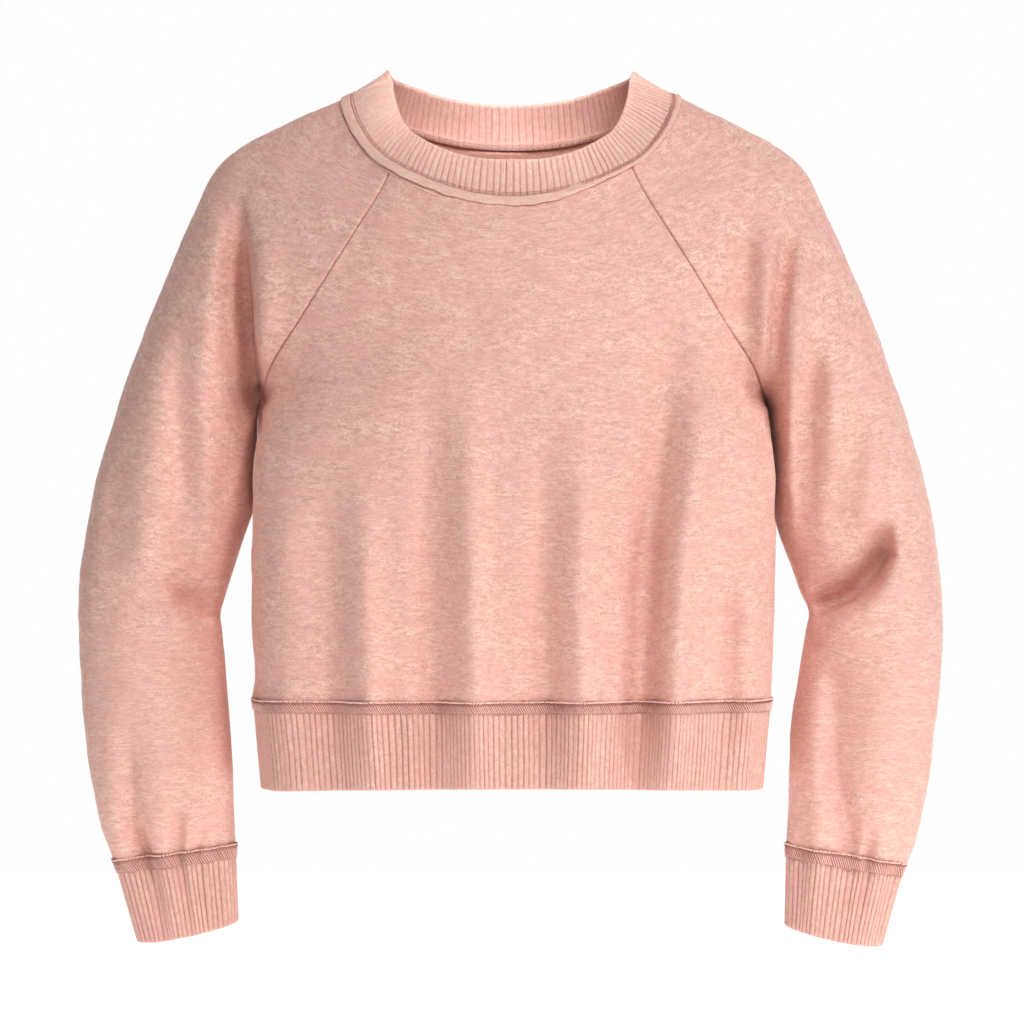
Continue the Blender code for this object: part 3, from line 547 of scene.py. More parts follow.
# What each edge of a piece is sewn to, above and below the underarm: (piece, its u). First edge, last edge.
SEWN_TO = {
    "front_panel": ((("left_sleeve", 2), ("back_panel", 2)), (("right_sleeve", 0), ("back_panel", 0))),
    "back_panel": ((("right_sleeve", 2), ("front_panel", 2)), (("left_sleeve", 0), ("front_panel", 0))),
    "left_sleeve": ((("back_panel", 2), ("left_sleeve", 2)), (("front_panel", 0), ("left_sleeve", 0))),
    "right_sleeve": ((("front_panel", 2), ("right_sleeve", 2)), (("back_panel", 0), ("right_sleeve", 0))),
}


def edge_normals(surface, rows, u):
    """Outward directions of a surface along one of its edges."""
    place, beside = np.array([float(u)]), np.array([abs(u - FINE_STEP)])
    above, below = np.maximum(rows - FINE_STEP, 0), np.minimum(rows + FINE_STEP, rows[-1])
    down = surface(below, place) - surface(above, place)
    along = (surface(rows, beside) - surface(rows, place)) * (1 if u == 0 else -1)
    return unit(np.cross(down, along))[:, 0]


def sewn_normals(name, surfaces, rows, from_first, from_last, normals):
    """The normals of a piece, turned near each seam to a direction that it shares with its neighbour."""
    for (above, below), u, distance in zip(SEWN_TO[name], (0, 2), (from_first, from_last)):
        neighbour = np.where((rows <= UNDERARM)[:, None],
                             edge_normals(surfaces[above[0]], np.minimum(rows, UNDERARM), above[1]),
                             edge_normals(surfaces[below[0]], np.maximum(rows, UNDERARM), below[1]))
        shared = unit(edge_normals(surfaces[name], rows, u) + neighbour)[:, None]
        own = soft_step(distance / SEAM_BLEND)[..., None]
        normals = unit(own * normals + (1 - own) * shared)
    return normals


def cloth_panel(name, surfaces):
    """A panel or sleeve of jersey: the surface with soft sewn edges, a second layer inside, and a rim."""
    surface = surfaces[name]
    last, counts, columns = PANELS[name]
    rows = even_rows(surface, (0, UNDERARM, last), counts)
    u, around, from_first, from_last = even_columns(surface, rows, columns)
    from_seam = np.minimum(from_first, from_last)
    grid = surface(rows, u)
    normals = sewn_normals(name, surfaces, rows, from_first, from_last, grid_normals(grid))
    lift = sum(height * soft_waves(grid, *wave) for height, wave in SURFACE_WAVES)
    lift *= 1 - np.exp(-(from_seam / WAVES_FADE)**2)
    lift -= SURFACE_INSET + SEAM_ROLL * np.exp(-(from_seam / SEAM_SOFT)**2)
    outer = grid + normals * lift[..., None]
    inner = outer - WALL * normals
    for edge, beside in ((0, 1), (-1, -2)):
        outer[:, edge] += SEAM_GAP / 2 * unit(grid[:, beside] - grid[:, edge])
    count, size = outer.shape[:2]
    down = np.concatenate([[0], np.cumsum(np.linalg.norm(np.diff(grid, axis=0), axis=2).mean(axis=1))])
    uv = np.stack([around, np.broadcast_to(down[::-1, None] - down[-1], around.shape)], axis=-1) * MM
    border = np.concatenate([
        np.arange(size), np.arange(1, count) * size + size - 1,
        (count - 1) * size + np.arange(size - 2, -1, -1), np.arange(count - 2, 0, -1) * size])
    after = np.roll(border, -1)
    rim = np.stack([border, after, after + count * size, border + count * size], axis=1)
    quads = np.concatenate([grid_quads(count, size), grid_quads(count, size, True, start=count * size), rim])
    points = np.concatenate([outer.reshape(-1, 3), inner.reshape(-1, 3)])
    uv = np.concatenate([uv.reshape(-1, 2)] * 2)
    piece = make_piece(name + "_cloth", points, quads, uv, JERSEY)
    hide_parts(name)
    return piece


# ==================================================================== seams round a band
class Seam:
    """A closed seam between panels and a band. Its places t run from 0 to 1 round it."""

    READS = 161            # over each piece
    DENSE = 2400           # round the whole seam
    SOFTEN = 7.0           # mm to each side over which its directions are averaged

    def __init__(self, surfaces, edge, band_end):
        """surfaces: in order round the seam, which lies at their row edge, the first or the last."""
        u = np.linspace(0, 2, self.READS)
        onward = 1 if edge == 0 else -1
        parts = []
        for surface in surfaces:
            line = surface(edge, u)[0]
            way = unit(surface(edge + onward * ROW_INSIDE, u)[0] - line)
            out = unit(np.cross(way, np.gradient(line, axis=0))) * onward
            parts.append((line[1:], way[1:], out[1:]))
        points, ways, outs = [np.concatenate(part) for part in zip(*parts)]
        end = band_end(points, u[1:])
        run = lengths_along(np.concatenate([points[-1:], points]))
        self.length = run[-1]
        dense = np.arange(self.DENSE) / self.DENSE * self.length

        def even(field):
            looped = np.concatenate([field[-1:], field])
            return np.stack([np.interp(dense, run, looped[:, k]) for k in range(3)], axis=1)

        self.points, self.end = even(points), even(end)
        self.panel_way, self.panel_out = self.softened(even(ways)), self.softened(even(outs))
        self.band_way = unit(self.end - self.points)
        across = np.sum(self.panel_out * self.band_way, axis=1, keepdims=True)
        self.band_out = unit(self.panel_out - across * self.band_way)
        self.band_length = np.linalg.norm(self.end - self.points, axis=1)
        self.flap = np.zeros(self.DENSE)

    def softened(self, field):
        """Directions round the seam, each averaged with those beside it."""
        half = int(self.SOFTEN / self.length * self.DENSE)
        weights = np.hanning(2 * half + 3)[1:-1]
        padded = np.concatenate([field[-half:], field, field[:half]])
        return unit(np.stack([np.convolve(padded[:, k], weights, "valid") for k in range(3)], axis=1))

    def read(self, field, t):
        """A field of the seam at any places round it."""
        place = np.mod(t, 1.0) * self.DENSE
        before = np.floor(place).astype(int)
        share = place - before
        here, after = field[before % self.DENSE], field[(before + 1) % self.DENSE]
        share = share.reshape(share.shape + (1,) * (field.ndim - 1))
        return here + share * (after - here)

    def on_band(self, t, share, lift):
        """Points on the band: share of its length from the seam, and lift mm outward."""
        start, end = self.read(self.points, t), self.read(self.end, t)
        return start + (end - start) * share[..., None] + self.read(self.band_out, t) * lift[..., None]

    def across(self, t, reach, lift):
        """Points over the seam: reach mm from it, onto the band above 0 and onto the panel below 0.

        flap says how far the part over the panel stands off it, in line with the band.
        """
        flap = self.read(self.flap, t)[..., None] * (reach[..., None] < 0)
        band_way, band_out = self.read(self.band_way, t), self.read(self.band_out, t)
        panel_way = unit(self.read(self.panel_way, t) * (1 - flap) - band_way * flap)
        panel_out = unit(self.read(self.panel_out, t) * (1 - flap) + band_out * flap)
        blend = soft_step(reach / TURN_OVER + 0.5)[..., None]
        out = unit(band_out * blend + panel_out * (1 - blend))
        way = np.where(reach[..., None] > 0, band_way, -panel_way)
        return self.read(self.points, t) + way * reach[..., None] + out * lift[..., None], out


def rounded_loop(count, power):
    """A flat rounded loop as pairs from -1 to 1, anticlockwise."""
    angle = np.linspace(0, 2 * math.pi, count, endpoint=False)
    cosine, sine = np.cos(angle), np.sin(angle)
    return np.sign(cosine) * np.abs(cosine)**power, np.sign(sine) * np.abs(sine)**power


def loop_piece(name, sections, uv, material, values=None):
    """A closed ring of cloth from sections (round, profile, 3), each a closed loop."""
    around, profile = sections.shape[:2]
    points = sections.transpose(1, 0, 2).reshape(-1, 3)
    quads = grid_quads(profile + 1, around, closed=True) % (profile * around)
    swap = {key: value.T for key, value in (values or {}).items()}
    if not turned_outward(sections):
        quads = quads[:, ::-1]
    return make_piece(name, points, quads, uv.transpose(1, 0, 2).reshape(-1, 2), material, swap)


def turned_outward(sections):
    """Whether the faces between the sections look outward as they are."""
    loop = sections[0]
    tangent = sections[1].mean(axis=0) - loop.mean(axis=0)
    area = np.cross(loop - loop.mean(axis=0), np.roll(loop, -1, axis=0) - loop.mean(axis=0)).sum(axis=0)
    return np.dot(area, tangent) > 0


# ==================================================================== ribbed bands
RIB_PHASES = np.array([0, 0.055, 0.115, 0.20, 0.34, 0.50, 0.66, 0.80, 0.885, 0.945])
RIB_GROOVE_SHADE = 0.78           # painted shade: tone in the grooves against the deepest yarn
GROOVE = 0.095             # half width of a groove between two ribs, as a share of a rib
RIB_UNEVEN = 0.05          # how far ribs lie and sway from an even pitch, as a share of a rib
RIB_DEPTHS = (0.7, 1.15)   # the shallowest and the deepest groove against the mean
RIB_ARCH = 0.25            # how much of a rib's height is the arch between its grooves
SWAY_ROUND, SWAY_DOWN = 60, 3        # size of a band in the units of the waves by which its ribs sway
SWAY_WAVES = (1.5, 6)      # the shortest and the longest of those waves


def rib_section(phase):
    """Height of a rib from 0 in the groove to 1."""
    from_groove = np.minimum(phase, 1 - phase)
    return 1 - np.exp(-(from_groove / GROOVE)**2) - RIB_ARCH * (1 - np.sin(math.pi * phase))


def ribbed_band(name, seam, ribs, wall, height, stations, material, node, seed, outer_share=None):
    """A band of rib knit with rounded ribs between thin grooves.

    stations: (share of the length, lift in walls from -1 inside to 0 outside, share of the rib height, bow).
    outer_share: the share of the rib height that the outer face keeps, for places round the seam.
    """
    draw = np.random.default_rng(seed)
    phase = np.tile(RIB_PHASES, ribs)
    number = np.repeat(np.arange(ribs), len(RIB_PHASES))
    shift = draw.normal(0, RIB_UNEVEN, ribs)
    start = (number + phase + shift[number] * (1 - phase) + np.roll(shift, -1)[number] * phase) / ribs
    deep = draw.uniform(*RIB_DEPTHS, ribs)
    depth = deep[number] * (1 - phase) + np.roll(deep, -1)[number] * phase
    share, layer, strength, bow = [np.array(column, float) for column in zip(*stations)]
    around = np.stack([start * SWAY_ROUND, 0 * start, 0 * start], axis=1)
    at = around[:, None] + np.array([0, SWAY_DOWN, 0]) * share[:, None]
    t = start[:, None] + soft_waves(at, seed, *SWAY_WAVES) * RIB_UNEVEN / ribs
    full = np.broadcast_to(strength, t.shape).copy()
    if outer_share is not None:
        full *= np.where(layer[None] > -0.5, outer_share(start)[:, None], 1)
    rise = rib_section(phase)[:, None] * depth[:, None] * full
    facing = np.where(layer > -0.5, 1.0, -1.0)
    lift = bow[None] + layer[None] * wall + facing[None] * (rise - full) * height - SURFACE_INSET
    sections = seam.on_band(t, np.broadcast_to(share, t.shape), lift)
    # where the grooves lie: the ribbed materials darken there with painted shade
    groove = (1 - rib_section(phase))[:, None] * full * depth[:, None]
    steps = np.hypot(np.diff(share) * seam.band_length.mean(), np.diff(layer) * wall)
    run = np.concatenate([[0], np.cumsum(steps)])
    uv = np.stack(np.broadcast_arrays(t * seam.length, run[None]), axis=-1) * MM
    piece = loop_piece(name, sections, uv, material, {"groove": groove})
    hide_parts(node)
    return piece


# ==================================================================== seam allowances and sewing
def allowance(name, seam, layers, material, node, seed, ruffle):
    """The seam allowance over a seam: flat strips of cloth, soft-edged and a little wavy.

    Each layer gives, for places t, how far it reaches onto the panel (below 0) and onto the band, its
    thickness, its lift, and how far it thins toward the band (0 even, 1 a bead beside the panel).
    """
    count = int(seam.length / ALLOWANCE_STEP)
    t = np.arange(count) / count
    at = seam.read(seam.points, t)
    wide, high = rounded_loop(20, 0.5)
    points, quads, uvs = [], [], []
    for number, layer in enumerate(layers):
        on_panel, on_band, thick, lift, bead = [column[:, None] for column in layer(t)]
        on_panel = on_panel + ruffle * soft_waves(at, seed + 7 * number, 6, 30)[:, None]
        on_band = on_band + 0.5 * ruffle * soft_waves(at, seed + 7 * number + 1, 6, 30)[:, None]
        lift = lift + 0.25 * ruffle * soft_waves(at, seed + 7 * number + 2, 10, 40)[:, None]
        reach = (on_band + on_panel) / 2 + (on_band - on_panel) / 2 * wide[None]
        thin = 1 - BEAD_THIN * bead * soft_step((wide[None] + 0.8) / 0.8)
        rise = lift + thick * thin / 2 * (1 + high[None])
        sections, _ = seam.across(np.broadcast_to(t[:, None], reach.shape), reach, rise)
        loop_quads = grid_quads(len(wide) + 1, count, closed=True) % (len(wide) * count)
        if not turned_outward(sections):
            loop_quads = loop_quads[:, ::-1]
        uv = np.stack(np.broadcast_arrays(t[:, None] * seam.length, reach + 0 * rise), axis=-1) * MM
        points.append(sections.transpose(1, 0, 2).reshape(-1, 3))
        quads.append(loop_quads + number * len(wide) * count)
        uvs.append(uv.transpose(1, 0, 2).reshape(-1, 2))
    piece = make_piece(name, np.concatenate(points), np.concatenate(quads), np.concatenate(uvs), material)
    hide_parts(node)
    return piece


def thread_piece(name, paths, ups, radius, material):
    """Short round threads along paths (thread, point, 3), joined into one mesh. ups: outward directions."""
    count, length = paths.shape[:2]
    tangent = unit(np.gradient(paths, axis=1))
    side = unit(np.cross(tangent, ups))
    up = np.cross(side, tangent)
    angle = np.linspace(0, 2 * math.pi, THREAD_SIDES, endpoint=False)
    taper = np.full(length, 1.0)
    taper[0] = taper[-1] = THREAD_END
    ring = np.cos(angle)[:, None] * side[:, :, None] + np.sin(angle)[:, None] * up[:, :, None]
    points = paths[:, :, None] + ring * (radius * taper)[None, :, None, None]
    quads = grid_quads(length, THREAD_SIDES, flipped=True, closed=True)
    quads = (np.arange(count)[:, None, None] * length * THREAD_SIDES + quads[None]).reshape(-1, 4)
    around = np.broadcast_to(angle[None, None] * radius, points.shape[:3])
    run = np.broadcast_to(lengths_along(paths)[..., None], points.shape[:3])
    offset = np.arange(count)[:, None, None] * THREAD_SHIFT
    uv = np.stack([around * MM, run * MM + offset], axis=-1).reshape(-1, 2)
    return make_piece(name, points.reshape(-1, 3), quads, uv, material)


# A kind of stitch that repeats round a part of a seam (its first and last place t). places, reach and lift
# give one stitch in mm: how far along the seam, across it onto the band, and above the cloth.
Stitch = namedtuple("Stitch", "pitch part places reach lift seed uneven", defaults=(0.12,))


def stitch_paths(seam, kind):
    """Paths of all stitches of a kind, and their outward directions."""
    draw = np.random.default_rng(kind.seed)
    first, last = kind.part
    count = int(abs(last - first) * seam.length / kind.pitch)
    begin = first + (last - first) * (np.arange(count) + 0.5) / count
    begin = begin + draw.normal(0, kind.uneven, count) * kind.pitch / seam.length
    t = begin[:, None] + np.array(kind.places)[None] / seam.length
    reach = np.array(kind.reach)[None] + draw.normal(0, kind.uneven, (count, 1))
    lift = np.array(kind.lift)[None] + draw.normal(0, kind.uneven / 4, (count, 1))
    return seam.across(t, reach + 0 * t, lift + 0 * t)


def sewing(name, seam, radius, material, *kinds):
    """The threads of one or more kinds of stitch round a seam."""
    paths, ups = [np.concatenate(part) for part in zip(*[stitch_paths(seam, kind) for kind in kinds])]
    return thread_piece(name, paths, ups, radius, material)


# ==================================================================== shader groups and materials
def shader_group(name, inputs, outputs):
    """A node group with named sockets, given as (title, socket kind, value)."""
    group = bpy.data.node_groups.new(name, "ShaderNodeTree")
    for title, kind, value in inputs:
        socket = group.interface.new_socket(title, in_out="INPUT", socket_type=kind)
        socket.default_value = value
    for title, kind in outputs:
        group.interface.new_socket(title, in_out="OUTPUT", socket_type=kind)
    return group, group.nodes.new("NodeGroupInput"), group.nodes.new("NodeGroupOutput")


def add_node(tree, kind, links=None, **settings):
    """A node with its inputs set or linked; links maps an input to a value or to an output socket."""
    node = tree.nodes.new(kind)
    for title, value in settings.items():
        setattr(node, title, value)
    for title, value in (links or {}).items():
        if isinstance(value, bpy.types.NodeSocket):
            tree.links.new(value, node.inputs[title])
        else:
            node.inputs[title].default_value = value
    return node


def grain_noise(tree, place, stretch, detail, roughness=0.55):
    """Noise that is finer where stretch is larger."""
    scaled = add_node(tree, "ShaderNodeVectorMath", {0: place, 1: stretch}, operation="MULTIPLY")
    return add_node(tree, "ShaderNodeTexNoise", {
        "Vector": scaled.outputs[0], "Scale": 1.0, "Detail": detail, "Roughness": roughness}).outputs[0]


def ranged(tree, value, low, high, to_low=0.0, to_high=1.0):
    """The value moved from the range low to high into the range to_low to to_high."""
    return add_node(tree, "ShaderNodeMapRange", {
        "Value": value, "From Min": low, "From Max": high, "To Min": to_low, "To Max": to_high}).outputs[0]


def arithmetic(tree, operation, first, second):
    """The result of an operation on two values."""
    return add_node(tree, "ShaderNodeMath", {0: first, 1: second}, operation=operation).outputs[0]


def mixed(tree, share, first, second):
    """A colour between two: as much of the second as share says."""
    node = tree.nodes.new("ShaderNodeMix")
    node.data_type = "RGBA"
    for index, value in ((0, share), (6, first), (7, second)):
        if isinstance(value, bpy.types.NodeSocket):
            tree.links.new(value, node.inputs[index])
        else:
            node.inputs[index].default_value = value
    return node.outputs[2]


# Grains of the yarn: waves in a metre across and along the cloth, detail, and the noise that counts as
# 0 and as 1.
STREAKS = ((150, 420, 1), 3.0, 0.34, 0.66)
SPECKS = ((480, 1000, 1), 2.0, 0.33, 0.67)
PATCHES = ((70, 150, 1), 2.0, 0.33, 0.67)
BLOTCHES = ((30, 62, 1), 4.0, 0.40, 0.66)


def make_heather():
    """Yarn dyed in mixed tones: short streaks along the knit, specks, and soft blotches."""
    group, given, out = shader_group("heather", (
        ("Place", "NodeSocketVector", (0, 0, 0)), ("Stretch", "NodeSocketVector", (1, 1, 1)),
        ("Deep", "NodeSocketColor", (0.7, 0.35, 0.3, 1)), ("Pale", "NodeSocketColor", (0.9, 0.6, 0.5, 1)),
        ("Blush", "NodeSocketColor", (0.8, 0.4, 0.38, 1)), ("Contrast", "NodeSocketFloat", 1.0),
        ("Blotches", "NodeSocketFloat", 0.5)), (("Colour", "NodeSocketColor"), ("Fleck", "NodeSocketFloat")))
    place = add_node(group, "ShaderNodeVectorMath", {0: given.outputs["Place"], 1: given.outputs["Stretch"]},
                     operation="MULTIPLY").outputs[0]

    def grain(stretch, detail, low, high):
        return ranged(group, grain_noise(group, place, stretch, detail), low, high)

    streaks, specks, patches = [
        arithmetic(group, "MULTIPLY", grain(*kind), share)
        for kind, share in ((STREAKS, 0.36), (SPECKS, 0.44), (PATCHES, 0.20))]
    fleck = arithmetic(group, "ADD", arithmetic(group, "ADD", streaks, specks), patches)
    blotches = grain(*BLOTCHES)
    centred = arithmetic(group, "SUBTRACT", fleck, 0.5)
    contrasted = arithmetic(group, "MULTIPLY", centred, given.outputs["Contrast"])
    share = arithmetic(group, "ADD", contrasted, 0.5)
    yarn = mixed(group, share, given.outputs["Deep"], given.outputs["Pale"])
    blotched = arithmetic(group, "MULTIPLY", blotches, given.outputs["Blotches"])
    group.links.new(mixed(group, blotched, yarn, given.outputs["Blush"]), out.inputs["Colour"])
    group.links.new(share, out.inputs["Fleck"])
    return group


def make_nap():
    """Height of the brushed surface: fine fuzz over a slightly lumpy face."""
    group, given, out = shader_group("nap", (
        ("Place", "NodeSocketVector", (0, 0, 0)), ("Fuzz", "NodeSocketFloat", 1.0),
        ("Lumps", "NodeSocketFloat", 1.0)), (("Height", "NodeSocketFloat"),))
    place = given.outputs["Place"]
    fuzz = grain_noise(group, place, (900, 1500, 1), 3.0, 0.7)
    lumps = grain_noise(group, place, (170, 260, 1), 2.0)
    height = arithmetic(group, "ADD", arithmetic(group, "MULTIPLY", fuzz, given.outputs["Fuzz"]),
                        arithmetic(group, "MULTIPLY", lumps, given.outputs["Lumps"]))
    group.links.new(height, out.inputs["Height"])
    return group


NAP_LUMPS = 0.8
NAP_DEPTH = 0.0006         # metres
CLOTH_SPECULAR = 0.25
SHEEN_ROUGHNESS = 0.45
SHEEN_TINT = (1.0, 0.86, 0.82, 1.0)
ROUGHNESS_SPREAD = 0.06


def cloth_material(name, tones, roughness, sheen, contrast, blotches, stretch=(1, 1, 1), fuzz=0.6,
                   bump=0.35, groove_shading=0.0):
    """A finish of heather yarn with a nap. tones: deep, pale, blush. The last argument is how much painted
    shade darkens the grooves of ribs.
    """
    material = bpy.data.materials.new(name)
    material.use_nodes = True
    tree = material.node_tree
    shader = tree.nodes["Principled BSDF"]
    place = add_node(tree, "ShaderNodeUVMap", uv_map="cloth").outputs[0]
    deep, pale, blush = [(*tone, 1.0) for tone in tones]
    heather = tree.nodes.new("ShaderNodeGroup")
    heather.node_tree = HEATHER
    tree.links.new(place, heather.inputs["Place"])
    for title, value in (("Stretch", stretch), ("Deep", deep), ("Pale", pale), ("Blush", blush),
                         ("Contrast", contrast), ("Blotches", blotches)):
        heather.inputs[title].default_value = value
    colour = heather.outputs["Colour"]
    # Painted shade: the colour darkens toward a deeper tone in the grooves between the ribs.
    if groove_shading:
        groove = add_node(tree, "ShaderNodeAttribute", attribute_name="groove").outputs["Fac"]
        shade = tuple(RIB_GROOVE_SHADE * channel for channel in tones[0]) + (1.0,)
        colour = mixed(tree, arithmetic(tree, "MULTIPLY", groove, groove_shading), colour, shade)
    tree.links.new(colour, shader.inputs["Base Color"])
    nap = tree.nodes.new("ShaderNodeGroup")
    nap.node_tree = NAP
    tree.links.new(place, nap.inputs["Place"])
    nap.inputs["Fuzz"].default_value = fuzz
    nap.inputs["Lumps"].default_value = NAP_LUMPS
    relief = add_node(tree, "ShaderNodeBump", {"Height": nap.outputs["Height"], "Strength": bump,
                                               "Distance": NAP_DEPTH})
    tree.links.new(relief.outputs[0], shader.inputs["Normal"])
    rough = ranged(tree, heather.outputs["Fleck"], 0.0, 1.0, roughness - ROUGHNESS_SPREAD,
                   min(1.0, roughness + ROUGHNESS_SPREAD))
    tree.links.new(rough, shader.inputs["Roughness"])
    shader.inputs["Specular IOR Level"].default_value = CLOTH_SPECULAR
    shader.inputs["Sheen Weight"].default_value = sheen
    shader.inputs["Sheen Roughness"].default_value = SHEEN_ROUGHNESS
    shader.inputs["Sheen Tint"].default_value = SHEEN_TINT
    return material


HEATHER, NAP = make_heather(), make_nap()
FINE = {"stretch": (3, 3, 1), "fuzz": 0.4}     # the grain of thin threads
RIBBED = {"stretch": (2.2, 0.5, 1)}            # the grain drawn out along the ribs
JERSEY = cloth_material(
    "brushed_heather_jersey", ((0.68, 0.39, 0.33), (0.97, 0.70, 0.61), (0.82, 0.46, 0.42)), 0.9, 0.28,
    1.35, 0.5)
# The ribbed knit of hem and cuffs, with painted shade in its grooves.
RIB = cloth_material(
    "ribbed_heather_knit", ((0.67, 0.385, 0.325), (0.93, 0.66, 0.575), (0.81, 0.455, 0.415)), 0.9, 0.28,
    1.1, 0.5, groove_shading=0.55, **RIBBED)
# A paler copy of the ribbed knit for the neckband: painted light that makes the neck look more lit. Its
# grooves get painted shade too.
NECK_RIB_LIT = cloth_material(
    "neckband_knit_painted_light", ((0.78, 0.46, 0.40), (0.98, 0.74, 0.65), (0.90, 0.54, 0.49)), 0.9, 0.28,
    1.1, 0.45, groove_shading=0.6, **RIBBED)
EDGE = cloth_material(
    "cut_edge_jersey", ((0.80, 0.48, 0.41), (0.99, 0.75, 0.65), (0.90, 0.56, 0.50)), 0.92, 0.25,
    1.1, 0.4, fuzz=1.2, bump=0.5)
THREAD = cloth_material(
    "sewing_thread", ((0.90, 0.59, 0.52), (0.99, 0.82, 0.74), (0.95, 0.63, 0.57)), 0.75, 0.15,
    0.8, 0.3, **FINE)
# The allowance cloth of hem and cuffs, much darker than the jersey: painted shade in the gaps between the
# pale overlock threads.
SHADED_OVERLOCK_GROUND = cloth_material(
    "overlock_ground_painted_shade", ((0.46, 0.21, 0.185), (0.70, 0.40, 0.35), (0.55, 0.27, 0.24)), 0.92, 0.15,
    0.9, 0.4, fuzz=1.0, bump=0.5)
OVERLOCK_THREAD = cloth_material(
    "pale_overlock_thread", ((0.84, 0.53, 0.47), (0.98, 0.77, 0.69), (0.92, 0.58, 0.53)), 0.8, 0.15,
    0.9, 0.3, **FINE)
HOLE_SHADE = cloth_material(
    "needle_hole_shade", ((0.36, 0.15, 0.13), (0.55, 0.28, 0.24), (0.42, 0.18, 0.16)), 0.95, 0.0,
    0.8, 0.3, **FINE)
# Thread coloured dark as if in shade: painted shade on the overlock of the neck and in the topstitch furrows.
SHADED_THREAD = cloth_material(
    "thread_in_painted_shade", ((0.50, 0.22, 0.20), (0.74, 0.42, 0.37), (0.60, 0.29, 0.27)), 0.8, 0.1,
    0.9, 0.4, **FINE)


# ==================================================================== the garment
def neckband_end(points, _place):
    """Upper edge of the neckband: each point of the neck seam moved inward and up."""
    half_width = np.abs(points[:, 0]).max()
    half_depth = np.where(points[:, 1] < 0, -points[:, 1].min(), points[:, 1].max())
    way_x, way_y = -points[:, 0] / half_width**2, -points[:, 1] / half_depth**2
    inward = unit(np.stack([way_x, way_y, 0 * way_y], axis=1))
    from_middle = np.degrees(np.arcsin(np.clip(np.abs(points[:, 0]) / half_width, 0, 1)))
    angle = np.where(points[:, 1] < 0, from_middle, 180 - from_middle)
    lean = smooth(COLLAR["inward"], angle / COLLAR_STEP) + COLLAR_RIGHT * soft_step(points[:, 0] / half_width)
    end = points + inward * lean[:, None]
    end[:, 2] += smooth(COLLAR["rise"], angle / COLLAR_STEP)
    return end


def hem_end(points, _place):
    """Lower edge of the hem band: the hem seam drawn in, with its flutes softened."""
    reach = int(len(points) * HEM_SOFTEN)
    weights = np.hanning(2 * reach + 3)[1:-1]
    weights /= weights.sum()
    padded = np.concatenate([points[-reach:], points, points[:reach]])
    plain = np.stack([np.convolve(padded[:, k], weights, "valid") for k in range(3)], axis=1)
    lower = plain + HEM_FOLD_SHARE * (points - plain)
    lower[:, 0] = points[:, 0]
    lower *= (HEM_PULL_SIDE, HEM_PULL_DEPTH, 1)
    half_width = np.abs(lower[:, 0]).max()
    lower[:, 2] -= HEM_LENGTH + HEM_DIP * (lower[:, 0] / half_width)**2
    return lower


def left_shoulder(seam):
    """Share of the rib height round the neck: the ribs fade where the band lies over the left shoulder."""
    def share(t):
        x, y = seam.read(seam.points, t)[:, :2].T
        near = fade(-x, *SHOULDER_LEFT) * fade(y, *SHOULDER_FRONT)
        return 1 - SHOULDER_SMOOTH * near * fade(-y, *SHOULDER_BACK)
    return share


def build_garment():
    """All pieces of the sweater by name: panels and sleeves, bands, then allowances with their sewing."""
    front, back = panel_surface("front"), panel_surface("back")
    sleeves = {side: sleeve_surface(side) for side in SIGN}
    surfaces = {"front_panel": front, "back_panel": back,
                "left_sleeve": sleeves["left"], "right_sleeve": sleeves["right"]}
    made = {name: cloth_panel(name, surfaces) for name in PANELS}

    neck = Seam([front, sleeves["right"], back, sleeves["left"]], 0, neckband_end)
    flap_left, flap_right = NECK_FLAP
    neck.flap = flap_left - (flap_left - flap_right) * fade(neck.points[:, 0], *NECK_CHANGE)
    made["neckband"] = ribbed_band("neckband_rib", neck, NECK_RIBS, NECK_WALL, NECK_RIB_HEIGHT,
                                   neckband_stations(), NECK_RIB_LIT, "neckband", seed=21,
                                   outer_share=left_shoulder(neck))
    hem = Seam([front, back], LAST_BODY_ROW, hem_end)
    made["hem_band"] = ribbed_band("hem_band_rib", hem, HEM_RIBS, BAND_WALL, BAND_RIB_HEIGHT,
                                   plain_band(HEM_LENGTH), RIB, "hem_band", seed=31)
    cuffs = {}
    for side in SIGN:
        cuffs[side] = Seam([sleeves[side]], LAST_SLEEVE_ROW, lambda points, u, side=side: cuff_end(side, u))
        made[side + "_cuff"] = ribbed_band(
            side + "_cuff_rib", cuffs[side], CUFF_RIBS, BAND_WALL, BAND_RIB_HEIGHT, plain_band(CUFF_LENGTH),
            RIB, side + "_cuff", seed=CUFF_SEED[side])
    sew_neck(made, neck)
    sew_ring(made, "hem", hem, seed=55, ruffle=0.35, upper=-2.6, lower=7.0, inset=0.7, short=0.3)
    for side in SIGN:
        sew_ring(made, side + "_cuff", cuffs[side], seed=61, ruffle=0.7, upper=-2.8, lower=8.6, inset=0.8,
                 short=0.4)
    return made


def neckband_stations():
    """Stations of the neckband: up its bowed outer face, over the rounded top edge, and down inside."""
    def bow(share):
        return NECK_BULGE * (math.sin(math.pi * share) if share <= 0.5 else 1 - 0.5 * (share - 0.5) / 0.43)

    shares = (0.004, 0.05, 0.12, 0.22, 0.35, 0.5, 0.62, 0.74, 0.84, 0.89)
    outer = [(share, 0, min(1, 0.35 + 4 * share), bow(share)) for share in shares]
    top = [(0.93 + 0.07 * math.sin(a), -0.5 + 0.5 * math.cos(a), 0.45, NECK_BULGE / 2)
           for a in np.linspace(0, math.pi, 9)]
    inner = [(share, -1, 0.65, bow(share)) for share in reversed(shares)]
    return outer + top + inner


